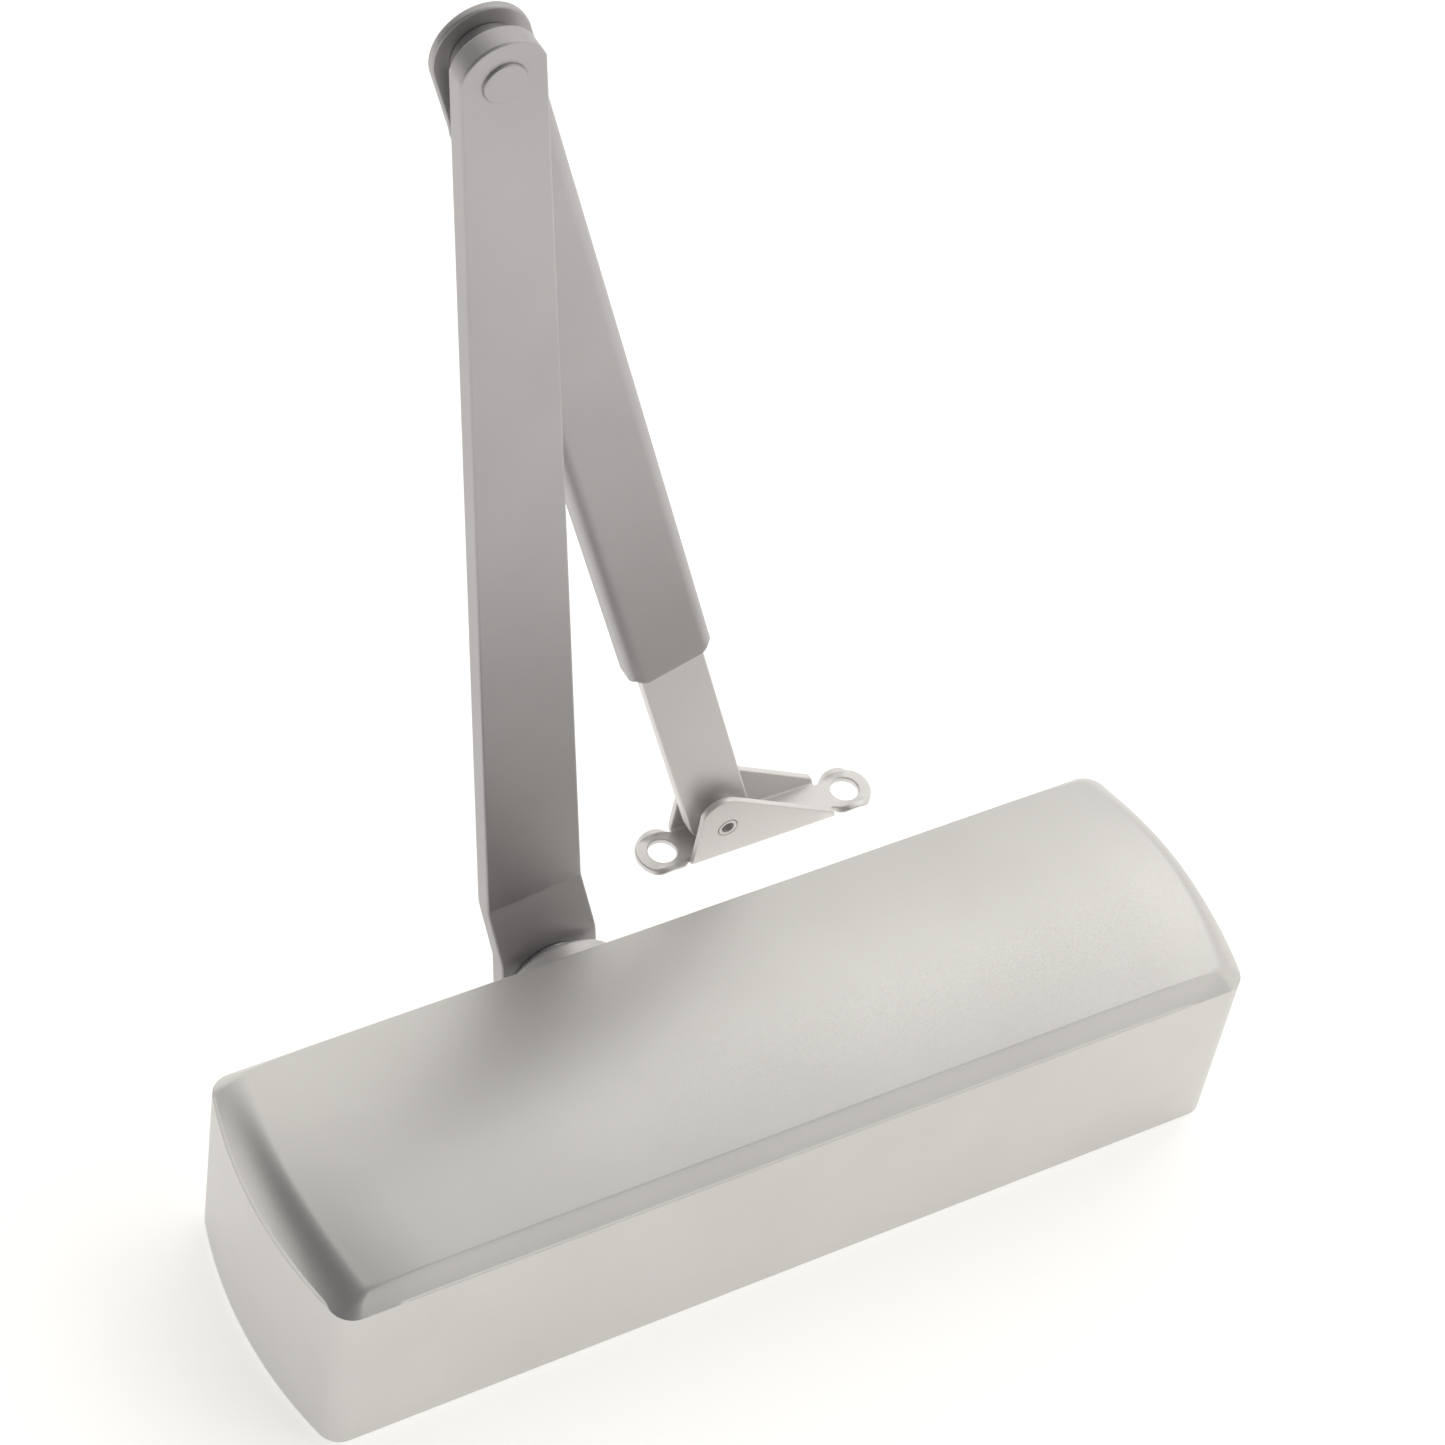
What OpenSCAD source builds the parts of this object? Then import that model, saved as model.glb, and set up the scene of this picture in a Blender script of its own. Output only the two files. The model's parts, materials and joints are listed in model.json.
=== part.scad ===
// Overhead door closer: box cover over a rack-and-pinion body, main arm,
// telescopic forearm and frame bracket. The closer lies on its back:
// X runs along the body, Y along the spindle towards the arm, Z away from the door leaf.

/* [Cover] */
// Length of the cover over the bowed ends
cover_l = 225; // [222:1:235]
// Width of the cover across the spindle direction
cover_w = 65; // [64:1:70]
// Height of the cover's long edges above the door
cover_edge_h = 50.4; // [49.5:0.1:54]
// Extra height of the crowned front in the middle
cover_crown = 4.6; // [1:0.1:6]
// How far each end bows out in the middle
cover_bow = 5; // [2:0.5:6]
// Wall thickness of the cover
cover_wall = 2; // [1.5:0.1:2.2]

/* [Closer body] */
// Length of the cast body between its end faces
body_l = 172; // [170:1:176]
// Width of the cast body along the spindle
body_w = 48; // [46:1:50]
// Depth of the cast body from the door
body_h = 45; // [44:0.5:46]
// Height of the spindle and bore axis above the door
axis_h = 22.5; // [22:0.1:23]
// Distance of the spindle from the middle of the body
spindle_x = -19.5; // [-21:0.5:-18]
// Radius of the piston bore
bore_r = 16.05; // [16:0.05:16.2]
// Spacing of the mounting holes along the body
mount_sx = 190; // [188:1:194]
// Spacing of the mounting holes across the body
mount_sy = 19; // [16:1:24]
// Diameter of the mounting holes
mount_d = 5.5; // [5:0.1:6.5]

/* [Rack and pinion] */
// Gear module
gear_m = 1.8; // [1.8:0.1:1.8]
// Teeth on the pinion
pinion_z = 10; // [10:1:10]
// Pressure angle
gear_alpha = 25; // [24:1:26]
// Total play between the flanks
backlash = 0.3; // [0.2:0.05:0.5]

/* [Main arm] */
// Distance from the spindle to the knuckle
arm_l = 260.6; // [200:0.1:300]
// Lean of the arm from square to the door, towards the short end
arm_lean = 7.2; // [0:0.1:12]
// Thickness of the arm
arm_t = 5; // [4:0.5:6]
// Half width of the arm at the spindle
arm_hw0 = 11.6; // [11:0.1:13]
// Half width of the arm at the knuckle
arm_hw1 = 8.4; // [7.5:0.1:10]
// Lower face of the arm at the spindle
arm_y0 = 46; // [45.5:0.1:48]
// Step between the two levels of the arm
arm_step = 6.4; // [5:0.1:8]

/* [Forearm and bracket] */
// Distance from the knuckle to the bracket pivot
forearm_l = 261; // [255:0.5:280]
// Swing of the forearm from square to the door, towards the long end
forearm_lean = 18.5; // [10:0.5:30]
// Width of the channel sleeve
sleeve_w = 19.6; // [19:0.1:22]
// Depth of the channel sleeve
sleeve_t = 9.6; // [9.2:0.1:11]
// Sheet thickness of the sleeve
sleeve_wall = 1.8; // [1.5:0.1:2]
// Length of the sleeve from the knuckle to its open end
sleeve_l = 198; // [196:1:204]
// Width of the slide bar
bar_w = 15; // [13:0.5:15.5]
// Thickness of the slide bar
bar_t = 4; // [3:0.5:4]
// Overall width of the bracket between its outer faces
bracket_w = 11; // [10.8:0.1:12]
// Sheet thickness of the bracket
bracket_t = 1.6; // [1.4:0.1:1.8]
// Spacing of the two screw eyes
eye_s = 47.4; // [45:0.1:50]
// Diameter of the screw eye holes
eye_d = 6.6; // [5:0.1:7]

/* [Hidden] */
$fn = 64;
eps = 0.01;
gap = 0.05;

paint = [0.76, 0.75, 0.74];
paint_light = [0.84, 0.83, 0.81];
cast = [0.62, 0.63, 0.64];
steel = [0.55, 0.56, 0.58];
dark_steel = [0.30, 0.31, 0.33];
brass = [0.78, 0.62, 0.32];
rubber = [0.10, 0.10, 0.11];
bronze = [0.66, 0.50, 0.30];

// cover
cover_round = 4.3;
cover_inset = 2.6;
cover_corner = 5.3;
rim_z = 0.8;
slot_hw = 15.4;
rib_t = 1.6;
rib_x = 62;
rib_gap = 0.3;
rib_z0 = 6;
rib_h = 36;
bow_steps = 8;
corner_steps = 6;
round_step = 18;
// body casting and screw slots
body_low_r = 2;
body_top_r = 8;
boss_overlap = 4;
driver_slot = 0.8;
// spindle bosses and bearings (named levels are along Y)
upper_bore_r = 12.5;
lower_bore_r = 11;
journal_r = 7;
bearing_y0 = 16.5;
bearing_y1 = 23;
upper_boss_y = 32;
lower_boss_y = 28.4;
upper_boss_r = 14;
lower_boss_r = 13.2;
collar_r = 14.4;
collar_y1 = 43;
square_side = 9.8;
collar_gap = 0.6;
collar_round = 1.2;
seal_y1 = 26;
seal_lip_w = 2;
seal_lip_h = 1.2;
lower_cap_t = 4;
lower_groove_w = 2;
upper_hole_r = 1.3;
upper_hole_d = 3;
spindle_tail = 0.4;
square_short = 0.4;
spindle_spacer_r = 9.5;
spindle_spacer_play = 0.2;
// end caps, end lugs, clips and valves (named places are along X)
cap_l = 12;
cap_r = 18;
groove_x = body_l / 2 - 9;
groove_w = 2.2;
groove_d = 2;
seal_r = 0.9;
socket_hex_r = 7;
socket_d = 5;
slot_cut = 2;
pin_hole_y = 10;
pin_hole_r = 1.6;
pin_hole_d = 5;
oilway_x = [-66, -30];
oilway_y = 12;
oilway_r = 2.2;
plug_l = 5;
lug_h = 8;
lug_x = 104;
lug_hw = 19;
lug_round = 6;
clip_x0 = 88;
clip_x1 = 104;
clip_w = 8;
clip_t = 1.2;
clip_h = 24;
clip_screw_x = 93;
clip_screw_r = 1.6;
clip_head_t = 1.8;
valve_y = 18.5;
valve_z = 38.4;
valve_r = 2.6;
valve_l = 20;
valve_groove_x = 4;
valve_groove_w = 1;
valve_groove_d = 0.9;
valve_head = 2;
valve_tip = 6;
needle_l = 5;
needle_r0 = 1.6;
needle_r1 = 0.4;
// piston and spring
piston_x0 = -58;
piston_x1 = 20;
piston_r = bore_r - gap;
window_x0 = -46.2;
window_x1 = 4.9;
window_low = 11.2;
pitch_r = gear_m * pinion_z / 2;
rack_add = 1.5;
rack_ded = 2;
rack_side = 4;
pinion_tip_r = 10.7;
pinion_root_r = 7.1;
pinion_hy = 12;
ring_x0 = -53;
ring_w = 3;
ring_d = 2;
check_r = 2.5;
check_x0 = 9;
check_plug_x = 16.5;
ball_r = 2.3;
ball_x = 11.4;
check_coil_r = 1.6;
check_wire_r = 0.3;
check_turns = 4;
check_lap = 0.6;
seat_r = 14.5;
seat_hub_r = 8;
seat_hub_l = 7;
screw_flange_r = 6.5;
screw_flange_t = 3;
screw_x0 = 50;
screw_key_r = 2.3;
screw_key_d = 4;
screw_seal_x = 79;
screw_seal_r = 0.8;
screw_groove_w = 1.8;
screw_groove_d = 1.7;
seat_x = 62;
seat_l = 6;
screw_r = 4;
spring_r = 11.8;
wire_r = 1.7;
spring_turns = 6.5;
// arm levels
arm_y1 = arm_y0 + arm_step;
arm_top = arm_y1 + arm_t;
step_s0 = 9.2;
step_s1 = 20.8;
step_cut = arm_t * tan(atan2(arm_step, step_s1 - step_s0) / 2);
arm_eye_r = 12;
arm_screw_r = 3;
arm_screw_head = 4.4;
arm_head_r = 5;
arm_key_r = 2.9;
arm_key_d = 2.6;
arm_tip_gap = 2;
arm_washer_r = 8;
washer_t = 1.4;
tap_y0 = 34;
knuckle_r = 8.8;
rivet_r = 3;
rivet_head_r = 4.3;
rivet_head_t = 0.7;
rivet_far_t = 1.2;
spacer_r = 6.5;
spacer_t = 3.6;
// forearm levels
sleeve_y = arm_top + spacer_t;
bar_play = 0.4;
bar_y = sleeve_y + sleeve_wall + bar_play;
bar_mid = bar_y + bar_t / 2;
bar_s0 = 92;
slot_s0 = 102.5;
slot_s1 = 192.5;
stud_s = [150, 175];
stud_r = 2.4;
stud_end = 5.4;
clamp_washer_r = 5;
clamp_washer_t = 1;
nut_r = 4.6;
nut_t = 3.6;
slot_w = 5.4;
sleeve_round = 3;
flange_s0 = 16;
lip_gap = 12;
chamfer = 2.6;
clamp_z = bar_y + bar_t + 2 * gap;
bracket_y = bar_mid - bracket_w / 2;
base_drop = 10.9;
flange_x0 = -7.6;
flange_x1 = 29.3;
flange_lean = 0.6;
flange_side_h = 5;
flange_top = [-1.8, 4.2];
flange_top_r = 5.4;
flange_nose = [27.7, -8.9];
flange_nose_r = 1.5;
eye_r = 6.2;
eye_x = -12.2;
neck_w = 7.6;
bracket_rivet_r = 2.4;
bracket_head_r = 3.3;
bracket_head_t = 0.7;
rivet_hole_r = 1.4;
bracket_washer_r = 5.2;
bracket_play = 0.2;

arm_tip = [spindle_x - arm_l * sin(arm_lean), axis_h + arm_l * cos(arm_lean)];
pivot = [arm_tip[0] + forearm_l * sin(forearm_lean), arm_tip[1] - forearm_l * cos(forearm_lean)];

function arc(c, r, a0, a1, n) =
  [for (i = [0:n]) let (a = a0 + (a1 - a0) * i / n) [c[0] + r * cos(a), c[1] + r * sin(a)]];

// A solid cylinder or ring along Y, between two heights
module post(r, y0, y1, hole = 0) {
  translate([0, y0, 0]) rotate([-90, 0, 0]) difference() {
    cylinder(r = r, h = y1 - y0);
    if (hole > 0) translate([0, 0, -1]) cylinder(r = hole, h = y1 - y0 + 2);
  }
}

// A solid cylinder or ring along X, between two places
module rod(r, x0, x1, hole = 0) {
  translate([x0, 0, 0]) rotate([0, 90, 0]) difference() {
    cylinder(r = r, h = x1 - x0);
    if (hole > 0) translate([0, 0, -1]) cylinder(r = hole, h = x1 - x0 + 2);
  }
}

module ring_x(major, minor, x) {
  translate([x, 0, 0]) rotate([0, 90, 0]) rotate_extrude() translate([major, 0]) circle(minor, $fn = 24);
}

module ring_y(major, minor, y) {
  translate([0, y, 0]) rotate([-90, 0, 0]) rotate_extrude() translate([major, 0]) circle(minor, $fn = 24);
}

module at_spindle() { translate([spindle_x, 0, axis_h]) children(); }
module at_bore() { translate([0, 0, axis_h]) children(); }
module at_knuckle() { translate([arm_tip[0], 0, arm_tip[1]]) children(); }
module at_pivot() { translate([pivot[0], 0, pivot[1]]) children(); }

// Arm space: local X runs along the arm from the spindle, local Y across it, local Z is the row's +Y
module arm_space() { at_spindle() rotate([0, -arm_lean, 0]) rotate([0, -90, -90]) children(); }

// Forearm space: local X runs from the knuckle to the bracket, local Z is the row's +Y
module forearm_space() {
  at_knuckle() rotate([0, 180 - forearm_lean, 0]) rotate([0, -90, -90]) children();
}

// ---- cover ----

// A quarter of the cover's outline in plan, moved in by d: half a bowed end and a corner
function quarter(d) =
  let (h = cover_w / 2, big = (h * h + cover_bow * cover_bow) / (2 * cover_bow),
       xc = cover_l / 2 - big, cy = h - cover_corner,
       cx = xc + sqrt(pow(big - cover_corner, 2) - cy * cy), a = atan2(cy, cx - xc))
  concat(arc([xc, 0], big - d, 0, a, bow_steps), arc([cx, cy], cover_corner - d, a, 90, corner_steps));

function outline(d) = [for (sx = [-1, 1], sy = [-1, 1], p = quarter(d)) [sx * p[0], sy * p[1]]];

// Rise of the crowned front above the end of the side walls, at a place across the cover
function crown(y) = cover_round + cover_crown * (1 - pow(2 * y / cover_w, 2));

// Every ring of points over the edge rounding, moved in by d, and the rim at the door
function cover_points(d) = concat(
  [for (p = outline(d)) [p[0], p[1], 0]],
  [for (f = [0:round_step:90], p = outline(d + cover_inset * (1 - cos(f))))
    [p[0], p[1], cover_edge_h - cover_round + crown(p[1]) * sin(f) - d]]);

module cover_solid(d) {
  points = cover_points(d);
  hull() polyhedron(points = points, faces = [for (i = [2:len(points) - 1]) [i - 2, i - 1, i]]);
}

module cover() {
  color(paint) difference() {
    union() {
      difference() {
        cover_solid(0);
        cover_solid(cover_wall);
      }
      for (x = [-rib_x, rib_x], side = [-1, 1]) cover_rib(x, side);
    }
    translate([-cover_l, -cover_w, -1]) cube([2 * cover_l, 2 * cover_w, 1 + rim_z]);
    at_spindle() post(slot_hw, body_w / 2, cover_w);
    translate([spindle_x - slot_hw, body_w / 2, -1]) cube([2 * slot_hw, cover_w, axis_h + 1]);
  }
}

// A rib inside a long wall, which centres the cover on the body
module cover_rib(x, side) {
  rib_in = body_w / 2 + rib_gap;
  rib_d = cover_w / 2 - cover_wall / 2 - rib_in;
  translate([x - rib_t / 2, side > 0 ? rib_in : -rib_in - rib_d, rib_z0]) cube([rib_t, rib_d, rib_h]);
}

// ---- cast body and what is fixed to it ----

// Rounded rectangle section, with its own radius for the two upper corners
function section(w, h, low_r, top_r) = concat(
  arc([w / 2 - low_r, low_r], low_r, -90, 0, 4), arc([w / 2 - top_r, h - top_r], top_r, 0, 90, 8),
  arc([top_r - w / 2, h - top_r], top_r, 90, 180, 8), arc([low_r - w / 2, low_r], low_r, 180, 270, 4));

module end_lug() {
  linear_extrude(lug_h) polygon(concat([[body_l / 2, -lug_hw]],
    arc([lug_x - lug_round, lug_round - lug_hw], lug_round, -90, 0, 6),
    arc([lug_x - lug_round, lug_hw - lug_round], lug_round, 0, 90, 6), [[body_l / 2, lug_hw]]));
}

module mount_holes() {
  for (x = [-1, 1], y = [-1, 1]) translate([x * mount_sx / 2, y * mount_sy / 2, -1])
    cylinder(d = mount_d, h = lug_h + 2);
}

module housing() {
  color(cast) difference() {
    union() {
      translate([-body_l / 2, 0, 0]) rotate([90, 0, 90]) linear_extrude(body_l)
        polygon(section(body_w, body_h, body_low_r, body_top_r));
      at_spindle() post(upper_boss_r, body_w / 2 - boss_overlap, upper_boss_y);
      at_spindle() post(lower_boss_r, -lower_boss_y, boss_overlap - body_w / 2);
    }
    at_bore() {
      rod(bore_r, -body_l / 2 - 1, body_l / 2 + 1);
      rod(cap_r, body_l / 2 - cap_l, body_l / 2 + 1);
      rod(cap_r, -body_l / 2 - 1, cap_l - body_l / 2);
    }
    at_spindle() post(upper_bore_r, bore_r / 2, upper_boss_y + 1);
    at_spindle() post(lower_bore_r, -lower_boss_y - 1, -bore_r / 2);
    for (y = [-valve_y, valve_y]) translate([0, y, valve_z])
      rod(valve_r, -body_l / 2 - 1, valve_l - body_l / 2);
    for (x = oilway_x) translate([x, oilway_y, axis_h]) cylinder(r = oilway_r, h = body_h);
  }
}

// The screwing lugs of the casting, one at each end of the body
module end_lugs() {
  color(cast) for (side = [0, 1]) mirror([side, 0, 0]) difference() {
    end_lug();
    translate([clip_screw_x, 0, 0]) cylinder(r = clip_screw_r, h = lug_h + 1);
    mount_holes();
  }
}

// An end cap with its seal groove; its own recesses are the children
module end_cap() {
  difference() {
    rod(cap_r, body_l / 2 - cap_l, body_l / 2);
    rod(cap_r + 1, groove_x, groove_x + groove_w, cap_r - groove_d);
    children();
  }
}

module valve_end_cap() {
  color(steel) at_bore() mirror([1, 0, 0]) end_cap()
    translate([body_l / 2 - socket_d, 0, 0]) rotate([0, 90, 0]) cylinder(r = socket_hex_r, h = cap_l, $fn = 6);
}

module spring_end_cap() {
  color(steel) at_bore() end_cap() {
    rod(screw_r + gap, body_l / 2 - cap_l - 1, body_l / 2 + 1);
    rod(screw_r + screw_groove_d, screw_seal_x - screw_groove_w / 2,
      screw_seal_x + screw_groove_w / 2);
    for (y = [-pin_hole_y, pin_hole_y]) translate([0, y, 0])
      rod(pin_hole_r, body_l / 2 - pin_hole_d, body_l / 2 + 1);
  }
}

module end_cap_seals() {
  color(rubber) at_bore() for (side = [0, 1]) mirror([side, 0, 0])
    ring_x(cap_r - seal_r, seal_r, groove_x + groove_w / 2);
}

module oilway_plugs() {
  color(brass) for (x = oilway_x) translate([x, oilway_y, body_h - plug_l])
    cylinder(r = oilway_r, h = plug_l);
}

module lower_bearing() {
  color(bronze) at_spindle() post(lower_bore_r, -bearing_y1, -bearing_y0, journal_r + gap);
}

module upper_bearing() {
  color(bronze) at_spindle() post(upper_bore_r, bearing_y0, bearing_y1, journal_r + gap);
}

module lower_bearing_cap() {
  color(steel) at_spindle() difference() {
    post(lower_bore_r, -lower_boss_y, lower_cap_t - lower_boss_y);
    post(lower_bore_r + 1, (lower_cap_t - lower_groove_w) / 2 - lower_boss_y,
      (lower_cap_t + lower_groove_w) / 2 - lower_boss_y, lower_bore_r - groove_d);
    translate([-socket_hex_r, -lower_boss_y - 1, -slot_cut / 2])
      cube([2 * socket_hex_r, 2, slot_cut]);
  }
}

module lower_cap_seal() {
  color(rubber) at_spindle() ring_y(lower_bore_r - seal_r, seal_r, lower_cap_t / 2 - lower_boss_y);
}

module upper_bearing_cap() {
  color(steel) at_spindle() difference() {
    post(upper_bore_r, seal_y1, upper_boss_y, journal_r + 3 * gap);
    for (x = [-pin_hole_y, pin_hole_y]) translate([x, 0, 0])
      post(upper_hole_r, upper_boss_y - upper_hole_d, upper_boss_y + 1);
  }
}

// Lip seal: a flat ring with a thicker lip at the shaft
module spindle_seal() {
  color(rubber) at_spindle() {
    post(upper_bore_r, bearing_y1, seal_y1 - seal_lip_h, journal_r + gap);
    post(journal_r + seal_lip_w, bearing_y1 + 1, seal_y1, journal_r + gap);
  }
}

module spindle_collar() {
  color(paint_light) at_spindle() rotate([-90, 0, 0]) rotate_extrude() polygon(concat(
    [[journal_r + collar_gap, upper_boss_y], [collar_r, upper_boss_y]],
    arc([collar_r - collar_round, collar_y1 - collar_round], collar_round, 0, 90, 5),
    [[journal_r + collar_gap, collar_y1]]));
}

// A bent spring strip on each end lug, which grips the cover's end
module cover_clips() {
  color(dark_steel) for (side = [0, 1]) mirror([side, 0, 0]) difference() {
    union() {
      translate([clip_x0, -clip_w / 2, lug_h]) cube([clip_x1 - clip_x0, clip_w, clip_t]);
      translate([clip_x1 - clip_t, -clip_w / 2, lug_h]) cube([clip_t, clip_w, clip_h]);
    }
    translate([clip_screw_x, 0, 0]) cylinder(r = clip_screw_r, h = body_h);
  }
}

module clip_screws() {
  color(steel) for (x = [-clip_screw_x, clip_screw_x]) translate([x, 0, 0]) {
    translate([0, 0, 1]) cylinder(r = clip_screw_r, h = lug_h + clip_t - 1);
    difference() {
      translate([0, 0, lug_h + clip_t]) cylinder(r = 2 * clip_screw_r, h = clip_head_t);
      translate([-body_l, -driver_slot / 2, lug_h + clip_t + 1])
        cube([2 * body_l, driver_slot, clip_head_t]);
    }
  }
}

// ---- coiled springs ----

// A helix of round wire along X, as rings of points that one closed skin joins
module coil(mean_r, wire, x0, x1, turns, sides, per_turn) {
  n = round(turns * per_turn);
  points = [for (i = [0:n], j = [0:sides - 1])
    let (a = 360 * i / per_turn, b = 360 * j / sides, r = mean_r + wire * cos(b))
    [x0 + wire + (x1 - x0 - 2 * wire) * i / n + wire * sin(b), r * cos(a), r * sin(a)]];
  skin = [for (i = [0:n - 1], j = [0:sides - 1])
    let (k = (j + 1) % sides) [i * sides + j, (i + 1) * sides + j, (i + 1) * sides + k, i * sides + k]];
  first = [for (j = [0:sides - 1]) j];
  last = [for (j = [sides - 1:-1:0]) n * sides + j];
  polyhedron(points = points, faces = concat(skin, [first, last]), convexity = 4);
}

module closing_spring() {
  color(dark_steel) at_bore() coil(spring_r, wire_r, piston_x1, seat_x, spring_turns, 8, 14);
}

// ---- gear profile ----

function involute(a) = tan(a) * 180 / PI - a;

// Half the angle of a pinion tooth at radius r
function tooth_angle(r) =
  (PI * gear_m / 2 - backlash / 2) / pitch_r * 90 / PI + involute(gear_alpha)
  - involute(acos(min(1, pitch_r * cos(gear_alpha) / r)));

module pinion_profile() {
  base_r = pitch_r * cos(gear_alpha);
  levels = [for (i = [0:5]) base_r + (pinion_tip_r - base_r) * i / 5];
  flank = concat([pinion_root_r], levels);
  polygon([for (k = [0:pinion_z - 1], s = [-1, 1], i = [0:len(flank) - 1])
    let (r = s < 0 ? flank[i] : flank[len(flank) - 1 - i],
         a = 360 * k / pinion_z + s * tooth_angle(max(r, base_r)))
    [r * cos(a), r * sin(a)]]);
}

module rack_tooth(x) {
  half = (PI * gear_m - backlash) / 4;
  tip = half - rack_add * tan(gear_alpha);
  root = half + rack_ded * tan(gear_alpha);
  translate([x, 0, 0]) rotate([90, 0, 0]) linear_extrude(2 * bore_r, center = true)
    polygon([[-tip, pitch_r - rack_add], [tip, pitch_r - rack_add],
      [root, pitch_r + rack_ded], [root, pitch_r + rack_ded + 1],
      [-root, pitch_r + rack_ded + 1], [-root, pitch_r + rack_ded]]);
}

// ---- piston, spring seat and adjusters ----

module piston() {
  window = [window_x1 - window_x0, 2 * bore_r, window_low + pitch_r + rack_ded];
  color(steel) at_bore() {
    difference() {
      rod(piston_r, piston_x0, piston_x1);
      translate([window_x0, -bore_r, -window_low]) cube(window);
      rod(check_r, check_x0, piston_x1 + 1);
      rod(check_r / 2, window_x1 - 1, check_x0 + 1);
      rod(piston_r + 1, ring_x0, ring_x0 + ring_w, piston_r - ring_d);
    }
    intersection() {
      rod(piston_r, piston_x0, piston_x1);
      for (i = [-rack_side:rack_side]) rack_tooth(spindle_x + i * PI * gear_m);
    }
  }
}

module piston_ring() {
  color(rubber) at_bore() rod(piston_r, ring_x0, ring_x0 + ring_w, piston_r - ring_d);
}

module check_valve_ball() { color(steel) at_bore() translate([ball_x, 0, 0]) sphere(r = ball_r); }

module check_valve_spring() {
  color(steel) at_bore()
    coil(check_coil_r, check_wire_r, ball_x + ball_r - check_lap, check_plug_x, check_turns, 6, 10);
}

module check_valve_plug() { color(brass) at_bore() rod(check_r, check_plug_x, piston_x1, 1); }

module spring_seat() {
  color(steel) at_bore() {
    rod(seat_r, seat_x, seat_x + seat_l, screw_r + gap);
    rod(seat_hub_r, seat_x - seat_hub_l, seat_x + eps, screw_r + gap);
  }
}

module power_screw() {
  color(steel) at_bore() difference() {
    union() {
      rod(screw_r, screw_x0, body_l / 2);
      rod(screw_flange_r, body_l / 2 - cap_l - screw_flange_t, body_l / 2 - cap_l - 2 * gap);
    }
    translate([body_l / 2 - screw_key_d, 0, 0]) rotate([0, 90, 0])
      cylinder(r = screw_key_r, h = screw_key_d + 1, $fn = 6);
  }
}

module power_screw_seal() {
  color(rubber) at_bore() ring_x(screw_r + gap + screw_seal_r, screw_seal_r, screw_seal_x);
}

// A needle valve: slotted head outside, threaded shank with a seal groove, and a tapered tip
module needle_valve(y) {
  color(brass) translate([-body_l / 2, y, valve_z]) difference() {
    union() {
      rod(valve_r - gap, -valve_head, valve_l - valve_tip);
      translate([valve_l - valve_tip, 0, 0]) rotate([0, 90, 0])
        cylinder(r1 = needle_r0, r2 = needle_r1, h = needle_l);
    }
    rod(valve_r + 1, valve_groove_x, valve_groove_x + valve_groove_w,
      valve_r - gap - valve_groove_d);
    translate([-valve_head - 1, -valve_r, -driver_slot / 2]) cube([2, 2 * valve_r, driver_slot]);
  }
}

module needle_seal(y) {
  minor = valve_groove_d / 2;
  color(rubber) translate([-body_l / 2, y, valve_z])
    ring_x(valve_r - gap - minor, minor, valve_groove_x + valve_groove_w / 2);
}

module closing_valve() { needle_valve(valve_y); }

module closing_valve_seal() { needle_seal(valve_y); }

module latching_valve() { needle_valve(-valve_y); }

module latching_valve_seal() { needle_seal(-valve_y); }

// ---- spindle and main arm ----

module spindle() {
  color(steel) difference() {
    union() {
      at_spindle() post(journal_r, -bearing_y1 - spindle_tail, arm_y0);
      at_spindle() rotate([90, 0, 0]) linear_extrude(2 * pinion_hy, center = true) pinion_profile();
      arm_space() translate([-square_side / 2, -square_side / 2, arm_y0 - 1])
        cube([square_side, square_side, arm_t + 1 - square_short]);
    }
    at_spindle() post(arm_screw_r, tap_y0, arm_y0 + arm_t);
  }
}

module spindle_spacer() {
  color(steel) at_spindle() post(spindle_spacer_r, collar_y1 + spindle_spacer_play, arm_y0, journal_r);
}

// The arm's outline seen along the spindle: an eye, a taper and a rounded tip
module arm_plan() {
  circle(arm_eye_r);
  polygon([[0, -arm_hw0], [arm_l, -arm_hw1], [arm_l, arm_hw1], [0, arm_hw0]]);
  translate([arm_l, 0]) circle(knuckle_r);
}

// The arm's outline seen from the edge, with the step between its two levels
module arm_edge() {
  low = arm_y0;
  far = arm_l + 2 * knuckle_r;
  polygon([[-2 * arm_eye_r, low], [step_s0, low], [step_s1, low + arm_step], [far, low + arm_step],
    [far, arm_top], [step_s1 - step_cut, arm_top], [step_s0 - step_cut, low + arm_t],
    [-2 * arm_eye_r, low + arm_t]]);
}

module main_arm() {
  color(paint) arm_space() difference() {
    intersection() {
      translate([0, 0, arm_y0 - 1]) linear_extrude(arm_top + 2 - arm_y0) arm_plan();
      rotate([90, 0, 0]) linear_extrude(4 * arm_eye_r, center = true) arm_edge();
    }
    translate([-square_side / 2, -square_side / 2, arm_y0 - 1]) cube([square_side, square_side, 2 * arm_t]);
    translate([arm_l, 0, arm_y1 - 1]) cylinder(r = rivet_r, h = arm_t + 2);
  }
}

module arm_washer() {
  color(steel) at_spindle()
    post(arm_washer_r, arm_y0 + arm_t, arm_y0 + arm_t + washer_t, arm_screw_r);
}

module arm_screw() {
  head_y = arm_y0 + arm_t + washer_t;
  color(steel) at_spindle() {
    post(arm_screw_r, tap_y0 + arm_tip_gap, head_y);
    difference() {
      post(arm_head_r, head_y, head_y + arm_screw_head);
      translate([0, head_y + arm_screw_head - arm_key_d, 0]) rotate([-90, 0, 0])
        cylinder(r = arm_key_r, h = arm_screw_head, $fn = 6);
    }
  }
}

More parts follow.
